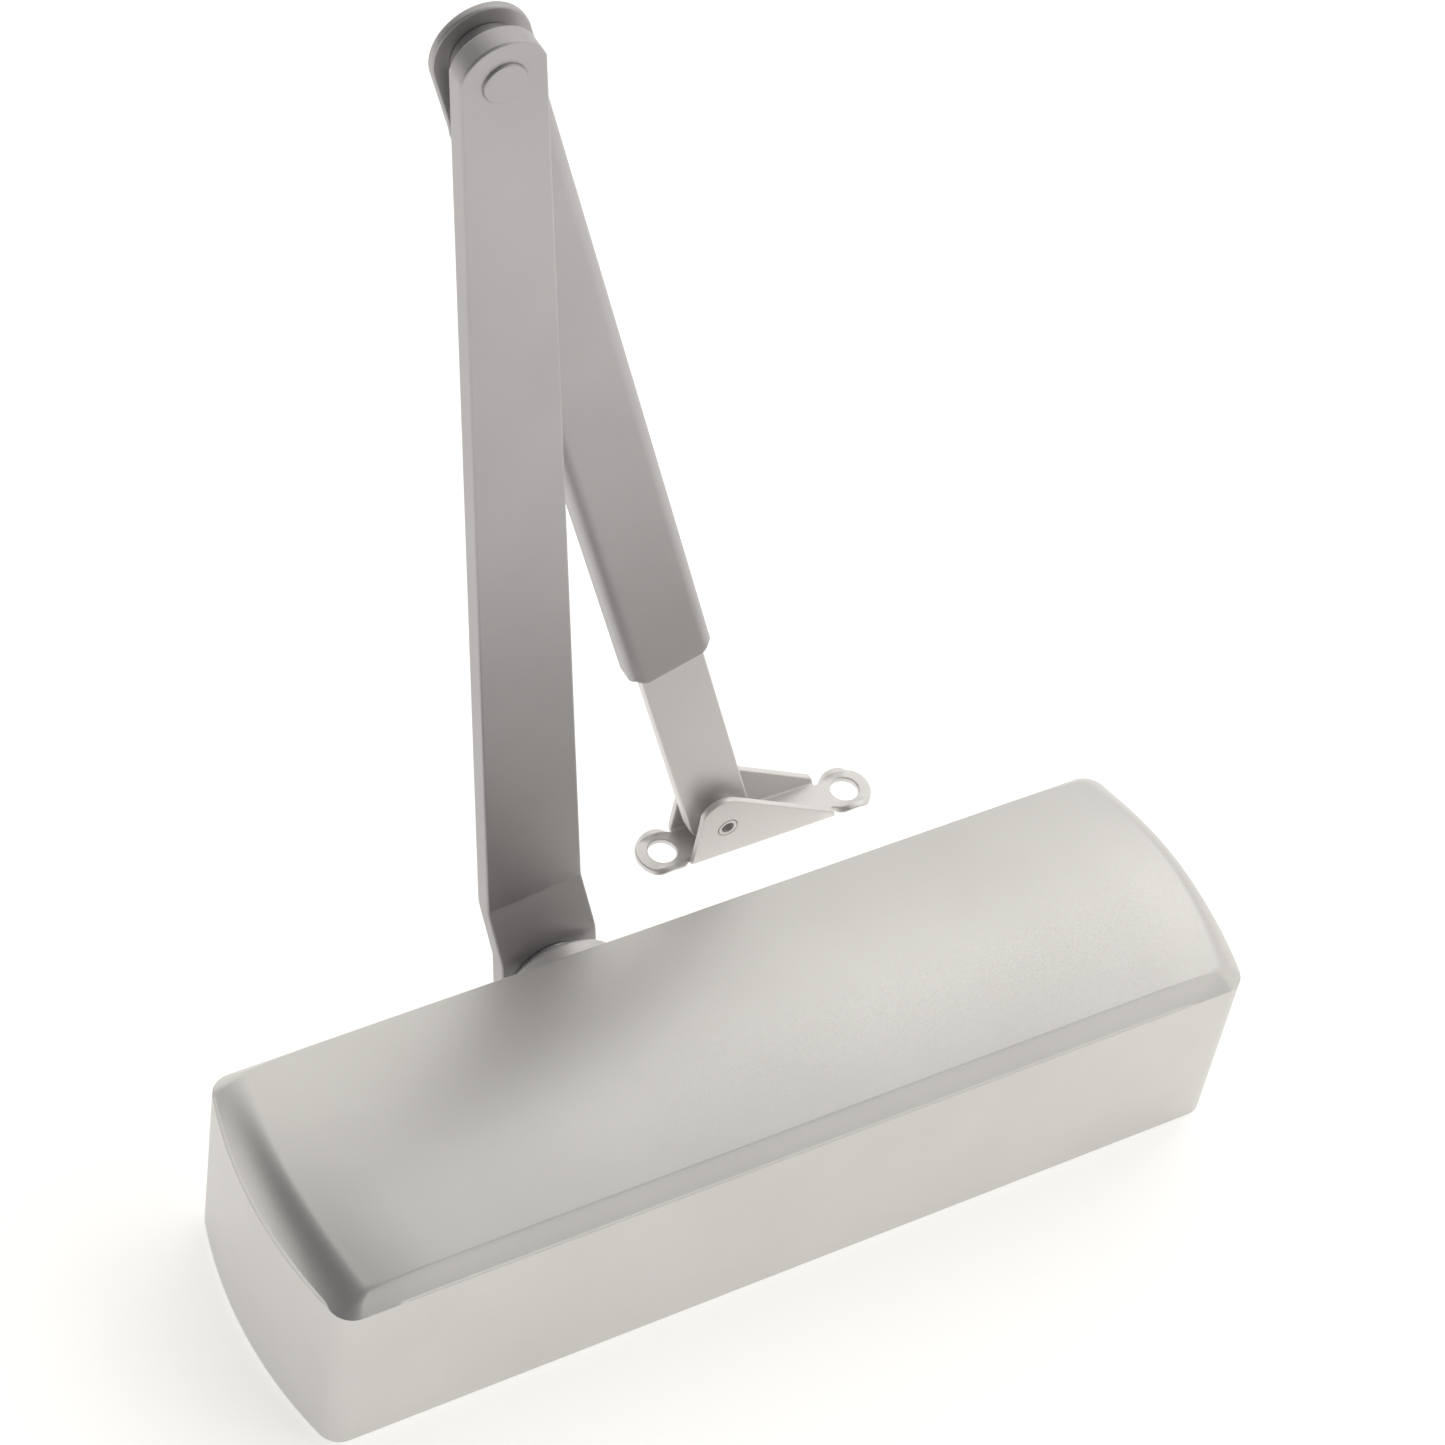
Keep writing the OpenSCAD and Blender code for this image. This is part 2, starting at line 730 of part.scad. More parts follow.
module knuckle_rivet() {
  far_head = sleeve_y + sleeve_wall + gap;
  color(paint) at_knuckle() {
    post(rivet_r, arm_y1, far_head);
    post(rivet_head_r, arm_y1 - rivet_head_t, arm_y1);
    post(rivet_head_r, far_head, far_head + rivet_far_t);
  }
}

module knuckle_spacer() { color(paint) at_knuckle() post(spacer_r, arm_top, sleeve_y - gap, rivet_r); }

// ---- forearm ----

// A rounded rectangle across the forearm, from one depth to another
module sleeve_section(w, z0, z1, r) {
  polygon(concat(arc([w / 2 - r, z0 + r], r, -90, 0, 6), arc([w / 2 - r, z1 - r], r, 0, 90, 6),
    arc([r - w / 2, z1 - r], r, 90, 180, 6), arc([r - w / 2, z0 + r], r, 180, 270, 6)));
}

// Stretch of the forearm between two places, with the given section across it
module along_forearm(s0, s1) {
  translate([s0, 0, 0]) rotate([90, 0, 90]) linear_extrude(s1 - s0) children();
}

module forearm_sleeve() {
  outer_z = sleeve_y + sleeve_t;
  color(paint) forearm_space() difference() {
    union() {
      along_forearm(flange_s0, sleeve_l) sleeve_section(sleeve_w, sleeve_y, outer_z, sleeve_round);
      translate([0, 0, sleeve_y]) linear_extrude(sleeve_wall) {
        circle(sleeve_w / 2);
        translate([0, -sleeve_w / 2 + sleeve_round]) square([flange_s0 + 1, sleeve_w - 2 * sleeve_round]);
        translate([0, -sleeve_w / 2]) square([flange_s0, sleeve_w]);
      }
    }
    along_forearm(flange_s0 - 1, sleeve_l + 1)
      sleeve_section(sleeve_w - 2 * sleeve_wall, sleeve_y + sleeve_wall, outer_z - sleeve_wall,
        sleeve_round - sleeve_wall);
    translate([0, -lip_gap / 2, sleeve_y + sleeve_t / 2]) cube([sleeve_l + 1, lip_gap, sleeve_t]);
    for (side = [-1, 1]) translate([sleeve_l, side * sleeve_w / 2, sleeve_y - 1]) rotate([0, 0, 45])
      translate([-chamfer / sqrt(2), -chamfer / sqrt(2), 0])
        cube([chamfer * sqrt(2), chamfer * sqrt(2), sleeve_t + 2]);
    translate([0, 0, sleeve_y - 1]) cylinder(r = rivet_r + gap, h = sleeve_wall + 2);
    for (s = stud_s) translate([s, 0, sleeve_y - 1]) cylinder(r = stud_r, h = sleeve_wall + 2);
  }
}

module at_studs() { forearm_space() for (s = stud_s) translate([s, 0, 0]) children(); }

module clamp_studs() {
  color(steel) at_studs() translate([0, 0, sleeve_y]) cylinder(r = stud_r, h = clamp_z + stud_end - sleeve_y);
}

module clamp_washers() {
  color(steel) at_studs() translate([0, 0, clamp_z]) difference() {
    cylinder(r = clamp_washer_r, h = clamp_washer_t);
    translate([0, 0, -1]) cylinder(r = stud_r, h = clamp_washer_t + 2);
  }
}

module clamp_nuts() {
  color(steel) at_studs() translate([0, 0, clamp_z + clamp_washer_t]) difference() {
    cylinder(r = nut_r, h = nut_t, $fn = 6);
    translate([0, 0, -1]) cylinder(r = stud_r, h = nut_t + 2);
  }
}

module slide_bar() {
  color(paint_light) forearm_space() difference() {
    translate([0, 0, bar_y]) linear_extrude(bar_t) {
      translate([bar_s0, -bar_w / 2]) square([forearm_l - bar_s0, bar_w]);
      translate([forearm_l, 0]) circle(bar_w / 2);
    }
    translate([0, 0, bar_y - 1]) linear_extrude(bar_t + 2) {
      translate([slot_s0, -slot_w / 2]) square([slot_s1 - slot_s0, slot_w]);
      for (s = [slot_s0, slot_s1]) translate([s, 0]) circle(slot_w / 2);
    }
    translate([forearm_l, 0, bar_y - 1]) cylinder(r = bracket_rivet_r + gap, h = bar_t + 2);
  }
}

// ---- bracket ----

module bracket_rivet() {
  color(paint_light) at_pivot() {
    post(bracket_rivet_r, bracket_y, bracket_y + bracket_w, rivet_hole_r);
    post(bracket_head_r, bracket_y - bracket_head_t, bracket_y, rivet_hole_r);
    post(bracket_head_r, bracket_y + bracket_w, bracket_y + bracket_w + bracket_head_t, rivet_hole_r);
  }
}

module bracket_washers() {
  inner = bracket_w / 2 - bracket_t;
  color(steel) at_pivot() for (y = [bar_mid - inner, bar_mid + bar_t / 2 + bracket_play])
    post(bracket_washer_r, y, y + inner - bar_t / 2 - bracket_play, bracket_rivet_r);
}

// One side of the bracket: high and round at the pivot, sloping down to the far end
module flange_profile() {
  polygon(concat([[flange_x0, -base_drop], [flange_x0 + flange_lean, flange_side_h]],
    arc(flange_top, flange_top_r, 165, 62, 8), arc(flange_nose, flange_nose_r, 60, 0, 3),
    [[flange_x1, -base_drop]]));
}

module frame_bracket() {
  color(paint_light) at_pivot() difference() {
    union() {
      for (y = [bracket_y + bracket_t, bracket_y + bracket_w])
        translate([0, y, 0]) rotate([90, 0, 0]) linear_extrude(bracket_t) flange_profile();
      translate([0, bar_mid, -base_drop]) linear_extrude(bracket_t) {
        translate([flange_x0, -bracket_w / 2]) square([flange_x1 - flange_x0, bracket_w]);
        translate([eye_x, -neck_w / 2]) square([eye_s, neck_w]);
        for (x = [eye_x, eye_x + eye_s]) translate([x, 0]) circle(eye_r);
      }
    }
    for (x = [eye_x, eye_x + eye_s]) translate([x, bar_mid, -base_drop - 1])
      cylinder(d = eye_d, h = bracket_t + 2);
    post(bracket_rivet_r, bracket_y - 1, bracket_y + bracket_w + 1);
  }
}

housing();
end_lugs();
valve_end_cap();
spring_end_cap();
end_cap_seals();
oilway_plugs();
lower_bearing();
upper_bearing();
lower_bearing_cap();
lower_cap_seal();
upper_bearing_cap();
spindle_seal();
spindle_collar();
cover_clips();
clip_screws();
closing_spring();
cover();
spindle();
spindle_spacer();
main_arm();
arm_washer();
arm_screw();
knuckle_rivet();
knuckle_spacer();
piston();
piston_ring();
check_valve_ball();
check_valve_spring();
check_valve_plug();
spring_seat();
power_screw();
power_screw_seal();
closing_valve();
closing_valve_seal();
latching_valve();
latching_valve_seal();
forearm_sleeve();
clamp_studs();
clamp_washers();
clamp_nuts();
slide_bar();
bracket_rivet();
bracket_washers();
frame_bracket();
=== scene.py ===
import json
import math
from itertools import product

import bmesh
import bpy
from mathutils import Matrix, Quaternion, Vector
from mathutils.geometry import delaunay_2d_cdt


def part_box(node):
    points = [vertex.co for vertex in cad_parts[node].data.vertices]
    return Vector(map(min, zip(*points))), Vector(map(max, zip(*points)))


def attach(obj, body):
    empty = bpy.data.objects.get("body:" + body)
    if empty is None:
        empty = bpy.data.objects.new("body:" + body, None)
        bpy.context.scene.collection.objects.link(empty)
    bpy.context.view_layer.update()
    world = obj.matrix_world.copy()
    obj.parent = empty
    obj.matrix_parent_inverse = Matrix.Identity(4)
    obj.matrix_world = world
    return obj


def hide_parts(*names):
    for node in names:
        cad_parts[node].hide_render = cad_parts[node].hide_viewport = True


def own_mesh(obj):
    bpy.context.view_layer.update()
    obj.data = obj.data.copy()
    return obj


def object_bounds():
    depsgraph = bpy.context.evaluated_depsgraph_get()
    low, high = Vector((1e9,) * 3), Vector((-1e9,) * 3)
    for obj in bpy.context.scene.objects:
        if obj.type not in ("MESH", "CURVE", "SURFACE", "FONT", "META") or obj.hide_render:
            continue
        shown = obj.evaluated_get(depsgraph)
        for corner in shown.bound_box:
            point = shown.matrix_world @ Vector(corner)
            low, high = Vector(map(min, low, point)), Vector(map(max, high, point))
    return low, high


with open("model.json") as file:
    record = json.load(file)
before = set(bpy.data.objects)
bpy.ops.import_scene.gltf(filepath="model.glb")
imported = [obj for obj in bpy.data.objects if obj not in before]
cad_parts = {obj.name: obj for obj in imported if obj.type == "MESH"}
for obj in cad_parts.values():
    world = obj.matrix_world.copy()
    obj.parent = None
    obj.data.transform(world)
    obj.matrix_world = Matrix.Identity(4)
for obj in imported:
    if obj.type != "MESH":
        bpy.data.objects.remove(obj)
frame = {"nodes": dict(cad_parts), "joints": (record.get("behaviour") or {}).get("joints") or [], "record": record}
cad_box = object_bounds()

# Looks of an overhead door closer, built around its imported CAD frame. Shapes are worked out in
# millimetres and placed in the row frame, which is in metres: X runs along the body, Y along the
# spindle towards the arm, and Z away from the door leaf.

MM = 0.001
SHARP = math.radians(38)
ROUND_STEPS = 3
CORNER_STEPS = 4
SHORTEST_EDGE = 0.03
LEAST_TURN = 0.3
CLEAR_OF_EDGE = 0.25
CLOSED_PITCH = 0.55
NO_RUN = 1e-9
ON_AXIS = 1e-6
SAME_POINT = 1e-7
SAME_PLACE = 1e-8

nodes = frame["nodes"]
joints = {joint["name"]: joint for joint in frame["joints"]}
slot_of = {part["node"]: part["material_slot"] for part in frame["record"]["subparts"]}


# ---- places, read from the frame ----

class Space:
    """A local space in millimetres: s along, t across and h up, placed in the row frame."""

    def __init__(self, origin, along, up):
        self.origin = Vector(origin)
        self.along = Vector(along).normalized()
        self.up = Vector(up).normalized()
        self.across = self.up.cross(self.along)

    def at(self, s, t, h):
        """The point in the row frame, in metres."""
        return self.origin + (self.along * s + self.across * t + self.up * h) * MM


def joint_axis_point(name):
    """Where a joint's axis along Y meets the plane Y = 0."""
    x, _, z = joints[name]["pos_m"]
    return Vector((x, 0, z))


def span(node, axis):
    """How far a node reaches along X, Y or Z, in millimetres."""
    low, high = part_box(node)
    return low["XYZ".index(axis)] / MM, high["XYZ".index(axis)] / MM


UP_SPINDLE = (0, 1, 0)
spindle_point = joint_axis_point("spindle_turn")
knuckle_point = joint_axis_point("knuckle")
pivot_point = joint_axis_point("bracket_pivot")
forearm_dir = Vector(joints["forearm_extension"]["axis"])

arm_space = Space(spindle_point, knuckle_point - spindle_point, UP_SPINDLE)
knuckle_space = Space(knuckle_point, forearm_dir, UP_SPINDLE)
pivot_space = Space(pivot_point, (1, 0, 0), UP_SPINDLE)
bore_space = Space((0, 0, spindle_point.z), (0, 1, 0), (1, 0, 0))

ARM_L = (knuckle_point - spindle_point).length / MM
FOREARM_L = (pivot_point - knuckle_point).length / MM


# ---- outlines ----

def arc(cx, cy, r, start, end, steps):
    """Points along a circle from one angle to another, in degrees, both ends included."""
    angles = [math.radians(start + (end - start) * i / steps) for i in range(steps + 1)]
    return [(cx + r * math.cos(a), cy + r * math.sin(a)) for a in angles]


def circle(cx, cy, r, steps=40):
    """A hole's outline: a circle that runs clockwise."""
    return arc(cx, cy, r, 360, 0, steps)[:-1]


def cut_by_lines(loop, lines):
    """The loop, with a point added wherever it crosses one of the lines (axis, value)."""
    out = []
    for a, b in zip(loop, loop[1:] + loop[:1]):
        out.append(a)
        length = math.dist(a, b)
        shares = []
        for axis, value in lines:
            run = b[axis] - a[axis]
            if abs(run) > NO_RUN:
                shares.append((value - a[axis]) / run)
        last = 0
        for k in sorted(shares):
            if (k - last) * length > SHORTEST_EDGE and (1 - k) * length > SHORTEST_EDGE:
                out.append((a[0] + (b[0] - a[0]) * k, a[1] + (b[1] - a[1]) * k))
                last = k
    return out


def inset(loop, depth):
    """The loop moved to its left by depth, which is into the material."""
    out = []
    for i, p in enumerate(loop):
        before = Vector(p) - Vector(loop[i - 1])
        after = Vector(loop[(i + 1) % len(loop)]) - Vector(p)
        n0 = Vector((-before.y, before.x)).normalized()
        n1 = Vector((-after.y, after.x)).normalized()
        shift = (n0 + n1) / max(LEAST_TURN, 1 + n0.dot(n1)) * depth
        out.append((p[0] + shift.x, p[1] + shift.y))
    return out


def inside(point, loops):
    """True if the point lies in the material between the loops."""
    crossings = 0
    for loop in loops:
        for a, b in zip(loop, loop[1:] + loop[:1]):
            if (a[1] > point[1]) != (b[1] > point[1]):
                x = a[0] + (b[0] - a[0]) * (point[1] - a[1]) / (b[1] - a[1])
                crossings += x > point[0]
    return crossings % 2 == 1


def soften(points, radius):
    """The closed outline with each corner rounded off."""
    out = []
    for i, p in enumerate(points):
        p, a, b = Vector(p), Vector(points[i - 1]), Vector(points[(i + 1) % len(points)])
        reach = min(radius, 0.45 * (a - p).length, 0.45 * (b - p).length)
        start, end = p + (a - p).normalized() * reach, p + (b - p).normalized() * reach
        for k in range(CORNER_STEPS + 1):
            f = k / CORNER_STEPS
            out.append(tuple(start * (1 - f) ** 2 + p * 2 * f * (1 - f) + end * f * f))
    return out


# ---- meshes ----

def add_piece(name, body, slot, verts, faces, stands_for=()):
    """Makes a closed mesh into a piece that rides on a CAD body."""
    mesh = bpy.data.meshes.new(name)
    bm = bmesh.new()
    made = [bm.verts.new(v) for v in verts]
    for face in faces:
        bm.faces.new([made[i] for i in face])
    bmesh.ops.dissolve_degenerate(bm, edges=bm.edges, dist=SAME_PLACE)
    if bm.calc_volume(signed=True) < 0:
        bmesh.ops.reverse_faces(bm, faces=bm.faces)
    bm.to_mesh(mesh)
    bm.free()
    piece = bpy.data.objects.new(name, mesh)
    bpy.context.scene.collection.objects.link(piece)
    smooth(piece)
    mesh.materials.append(finishes[slot])
    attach(piece, body)
    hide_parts(*stands_for)
    return piece


def smooth(piece):
    """Shades a piece smooth between its sharp edges, with flat faces kept flat."""
    bm = bmesh.new()
    bm.from_mesh(piece.data)
    for face in bm.faces:
        face.smooth = True
    for edge in bm.edges:
        edge.smooth = len(edge.link_faces) == 2 and edge.calc_face_angle(0) < SHARP
    bm.to_mesh(piece.data)
    bm.free()
    weighted = piece.modifiers.new("even_normals", "WEIGHTED_NORMAL")
    weighted.keep_sharp = True


def edge_rings(thickness, rounding):
    """Insets and heights up the rounded edge of a plate."""
    turns = [math.pi / 2 * k / ROUND_STEPS for k in range(ROUND_STEPS + 1)]
    lower = [(rounding * (1 - math.sin(f)), rounding * (1 - math.cos(f))) for f in turns]
    return lower + [(depth, thickness - height) for depth, height in reversed(lower)]


def loop_edges(loops):
    """Pairs of neighbours along the loops, whose points are numbered loop after loop."""
    edges, start = [], 0
    for loop in loops:
        edges += [(start + i, start + (i + 1) % len(loop)) for i in range(len(loop))]
        start += len(loop)
    return edges


def fill(points, edges, loops):
    """Triangles that fill the material between the loops."""
    found = delaunay_2d_cdt([Vector(p) for p in points], edges, [], 0, SAME_POINT)
    source = [ids[0] for ids in found[3]]
    triangles = []
    for face in found[2]:
        triangle = [source[i] for i in face]
        middle = [sum(points[i][k] for i in triangle) / 3 for k in (0, 1)]
        if inside(middle, loops):
            triangles.append(triangle)
    return triangles


def pressed(loops, thickness, rounding, place, lines=()):
    """A plate with holes and rounded edges: the outline runs anticlockwise, the holes clockwise.

    The lines (axis, value) are where the plate has points inside it, so that place can bend it
    there."""
    loops = [cut_by_lines(loop, lines) for loop in loops]
    rings = edge_rings(thickness, rounding)
    edges = loop_edges(loops)
    cap_loops = [inset(loop, rounding) for loop in loops]
    cap = [p for loop in cap_loops for p in loop]
    margin = [inset(loop, rounding + CLEAR_OF_EDGE) for loop in loops]
    across = [[value for axis, value in lines if axis == k] for k in (0, 1)]
    inner = [p for p in product(*across) if inside(p, margin)]
    count = len(cap)
    verts, faces = [], []
    for depth, height in rings:
        for loop in loops:
            verts += [place(u, v, height) for u, v in inset(loop, depth)]
    bottom, top = len(verts), len(verts) + len(inner)
    verts += [place(u, v, height) for height in (0, thickness) for u, v in inner]
    for k in range(len(rings) - 1):
        low, high = k * count, (k + 1) * count
        faces += [(low + a, low + b, high + b, high + a) for a, b in edges]
    last = (len(rings) - 1) * count
    for t in fill(cap + inner, edges, cap_loops):
        faces.append([i if i < count else bottom + i - count for i in reversed(t)])
        faces.append([last + i if i < count else top + i - count for i in t])
    return verts, faces


def as_drawn(r, h, a):
    """A shape for lathe that leaves the radius as the profile has it."""
    return r


def lathe(profile, space, shift=(0, 0), sides=72, shape=as_drawn):
    """A turned solid. The profile is (radius, height) points; it is a ring unless it starts on the axis.

    shape(radius, height, angle) can change the radius round the axis, as on a hexagon."""
    verts, rows = [], []
    for r, h in profile:
        row = []
        for i in range(sides if r > ON_AXIS else 1):
            a = 2 * math.pi * i / sides
            rr = shape(r, h, a) if r > ON_AXIS else 0
            row.append(len(verts))
            verts.append(space.at(shift[0] + rr * math.cos(a), shift[1] + rr * math.sin(a), h))
        rows.append(row * sides if len(row) == 1 else row)
    faces = []
    pairs = list(zip(rows, rows[1:]))
    if profile[0][0] > ON_AXIS:
        pairs.append((rows[-1], rows[0]))
    for low, high in pairs:
        for i in range(sides):
            k = (i + 1) % sides
            face = [low[i], low[k], high[k], high[i]]
            faces.append(list(dict.fromkeys(face)))
    return verts, faces


def ring_profile(inner, outer, low, high, radius):
    """The profile of a flat ring with rounded edges."""
    return soften([(inner, low), (outer, low), (outer, high), (inner, high)], radius)


def joined(*solids):
    """Several separate solids as one list of points and one of faces."""
    verts, faces = [], []
    for points, polygons in solids:
        faces += [[i + len(verts) for i in polygon] for polygon in polygons]
        verts += points
    return verts, faces


def hexagon(across_flats):
    """A shape for lathe: a hexagon of that width across its flats, where the radius passes it."""
    def shape(r, h, a):
        facet = (a % (math.pi / 3)) - math.pi / 6
        return min(r, across_flats / 2 / math.cos(facet))
    return shape


def coil(space, mean_r, wire_r, low, high, turns, flat_turns=0.8, per_turn=36, sides=14):
    """A compression spring of round wire, with closed end turns."""
    steps = round(turns * per_turn)
    free = turns - 2 * flat_turns
    closed = 2 * wire_r * CLOSED_PITCH
    rise = high - low - 2 * wire_r - 2 * closed * flat_turns
    verts, faces = [], []
    for i in range(steps + 1):
        turn = turns * i / steps
        lead = min(turn, flat_turns) + max(0, turn - turns + flat_turns)
        middle = min(max(turn - flat_turns, 0), free)
        h = low + wire_r + closed * lead + rise * middle / free
        a = 2 * math.pi * turn
        for k in range(sides):
            b = 2 * math.pi * k / sides
            r = mean_r + wire_r * math.cos(b)
            verts.append(space.at(r * math.cos(a), r * math.sin(a), h + wire_r * math.sin(b)))
    for i in range(steps):
        for k in range(sides):
            a, b = i * sides + k, i * sides + (k + 1) % sides
            faces.append((a, b, b + sides, a + sides))
    faces += [list(range(sides))[::-1], list(range(steps * sides, (steps + 1) * sides))]
    return verts, faces


# ---- finishes ----

CLOUD_SCALE = 22
CLOUD_DETAIL = 3
GRAIN_DETAIL = 2
GRAIN_BUMP = 0.6
NOISE_RANGE = (0.3, 0.7)
TONE_RANGE = (0.32, 0.68)


def node_link(tree, source, output, target, socket):
    """Joins an output of one shader node to an input of another."""
    tree.links.new(source.outputs[output], target.inputs[socket])


def noise(tree, where, scale, detail, stretch=(1, 1, 1)):
    """Noise in the piece's own coordinates, with features of about 1/scale metres."""
    mapping = tree.nodes.new("ShaderNodeMapping")
    mapping.inputs["Scale"].default_value = stretch
    texture = tree.nodes.new("ShaderNodeTexNoise")
    texture.inputs["Scale"].default_value = scale
    texture.inputs["Detail"].default_value = detail
    node_link(tree, where, "Object", mapping, "Vector")
    node_link(tree, mapping, "Vector", texture, "Vector")
    return texture


def noise_to_range(tree, source, low, high):
    """Maps noise to a range."""
    mapped = tree.nodes.new("ShaderNodeMapRange")
    mapped.inputs["From Min"].default_value = NOISE_RANGE[0]
    mapped.inputs["From Max"].default_value = NOISE_RANGE[1]
    mapped.inputs["To Min"].default_value = low
    mapped.inputs["To Max"].default_value = high
    node_link(tree, source, "Fac", mapped, "Value")
    return mapped


def noise_to_colour(tree, source, dark, light):
    """Maps mixed noise to the colours between a dark and a light one."""
    tone = tree.nodes.new("ShaderNodeValToRGB")
    ends = zip(tone.color_ramp.elements, TONE_RANGE, (dark, light))
    for element, position, colour in ends:
        element.position = position
        element.color = (*colour, 1)
    node_link(tree, source, "Result", tone, "Fac")
    return tone


def make_finish(name, dark, light, metallic, rough, grain=2200, grain_depth=0.00001,
                stretch=(1, 1, 1), specks=0.35):
    """A finish with cloudy tone, fine specks of flake or grain, uneven gloss and a fine texture."""
    material = bpy.data.materials.new(name)
    material.use_nodes = True
    tree = material.node_tree
    shader = tree.nodes["Principled BSDF"]
    shader.inputs["Metallic"].default_value = metallic
    where = tree.nodes.new("ShaderNodeTexCoord")
    cloud = noise(tree, where, CLOUD_SCALE, CLOUD_DETAIL)
    fine = noise(tree, where, grain, GRAIN_DETAIL, stretch)
    mixed = tree.nodes.new("ShaderNodeMix")
    mixed.inputs["Factor"].default_value = specks
    node_link(tree, cloud, "Fac", mixed, "A")
    node_link(tree, fine, "Fac", mixed, "B")
    tone = noise_to_colour(tree, mixed, dark, light)
    node_link(tree, tone, "Color", shader, "Base Color")
    gloss = noise_to_range(tree, fine, *rough)
    node_link(tree, gloss, "Result", shader, "Roughness")
    bump = tree.nodes.new("ShaderNodeBump")
    bump.inputs["Strength"].default_value = GRAIN_BUMP
    bump.inputs["Distance"].default_value = grain_depth
    node_link(tree, fine, "Fac", bump, "Height")
    node_link(tree, bump, "Normal", shader, "Normal")
    return material


# name: dark tone, light tone, metallic, roughness range, and any settings that are not the usual ones
FINISHES = {
    "satin_paint": ((0.455, 0.44, 0.445), (0.515, 0.50, 0.505), 0.78, (0.42, 0.52), {}),
    "light_paint": ((0.775, 0.755, 0.745), (0.845, 0.825, 0.815), 0.6, (0.40, 0.50), {}),
    "cover_paint": ((0.63, 0.618, 0.60), (0.69, 0.678, 0.66), 0.86, (0.38, 0.48), {}),
    "cast_aluminium": ((0.42, 0.43, 0.44), (0.56, 0.57, 0.58), 0.85, (0.42, 0.62),
                       {"grain": 700, "grain_depth": 0.00008, "specks": 0.6}),
    "zinc_steel": ((0.55, 0.56, 0.58), (0.68, 0.69, 0.71), 1.0, (0.24, 0.36), {"grain": 1500}),
    "hard_steel": ((0.36, 0.36, 0.38), (0.48, 0.48, 0.50), 1.0, (0.18, 0.30),
                   {"grain": 1200, "stretch": (1, 4, 4)}),
    "spring_steel": ((0.10, 0.105, 0.12), (0.19, 0.20, 0.22), 0.9, (0.26, 0.40), {}),
    "brass": ((0.66, 0.47, 0.20), (0.80, 0.61, 0.30), 1.0, (0.22, 0.34), {"grain": 1600}),
    "bronze": ((0.46, 0.32, 0.16), (0.60, 0.44, 0.24), 0.95, (0.38, 0.55),
               {"grain": 900, "grain_depth": 0.00003}),
    "black_rubber": ((0.018, 0.018, 0.02), (0.035, 0.035, 0.038), 0.0, (0.55, 0.72),
                     {"grain": 1100, "grain_depth": 0.00002}),
}

finishes = {}
for finish, (dark, light, metallic, rough, details) in FINISHES.items():
    finishes[finish] = make_finish(finish, dark, light, metallic, rough, **details)


# ---- cover ----

COVER_WALL = 2.0
COVER_ROUND = 4.3
SIDE_INSET = 3.5
END_INSET = 8.0
EDGE_SOFTNESS = 0.2
COVER_CORNER = 5.3
COVER_CROWN = 4.6
COVER_BOW = 5.0
ROLL_LENGTH = 16.0
ROLL_DROP = 0.9
RIM_EDGE = 0.3
RIB_X = 62.0
RIB_T = 1.6
RIB_Z = (6.0, 42.0)
# How far the spindle boss stands out of the body's side
BOSS_REACH = 4.1
SLOT_HALF = 15.4
SLOT_BELOW = 5
SLOT_INWARD = 8
SLOT_OUTWARD = 5
COVER_COLUMNS = 44
EVEN_COLUMNS = 0.25
CORNER_POINTS = 8
BOW_POINTS = 24
EDGE_STEPS = 14


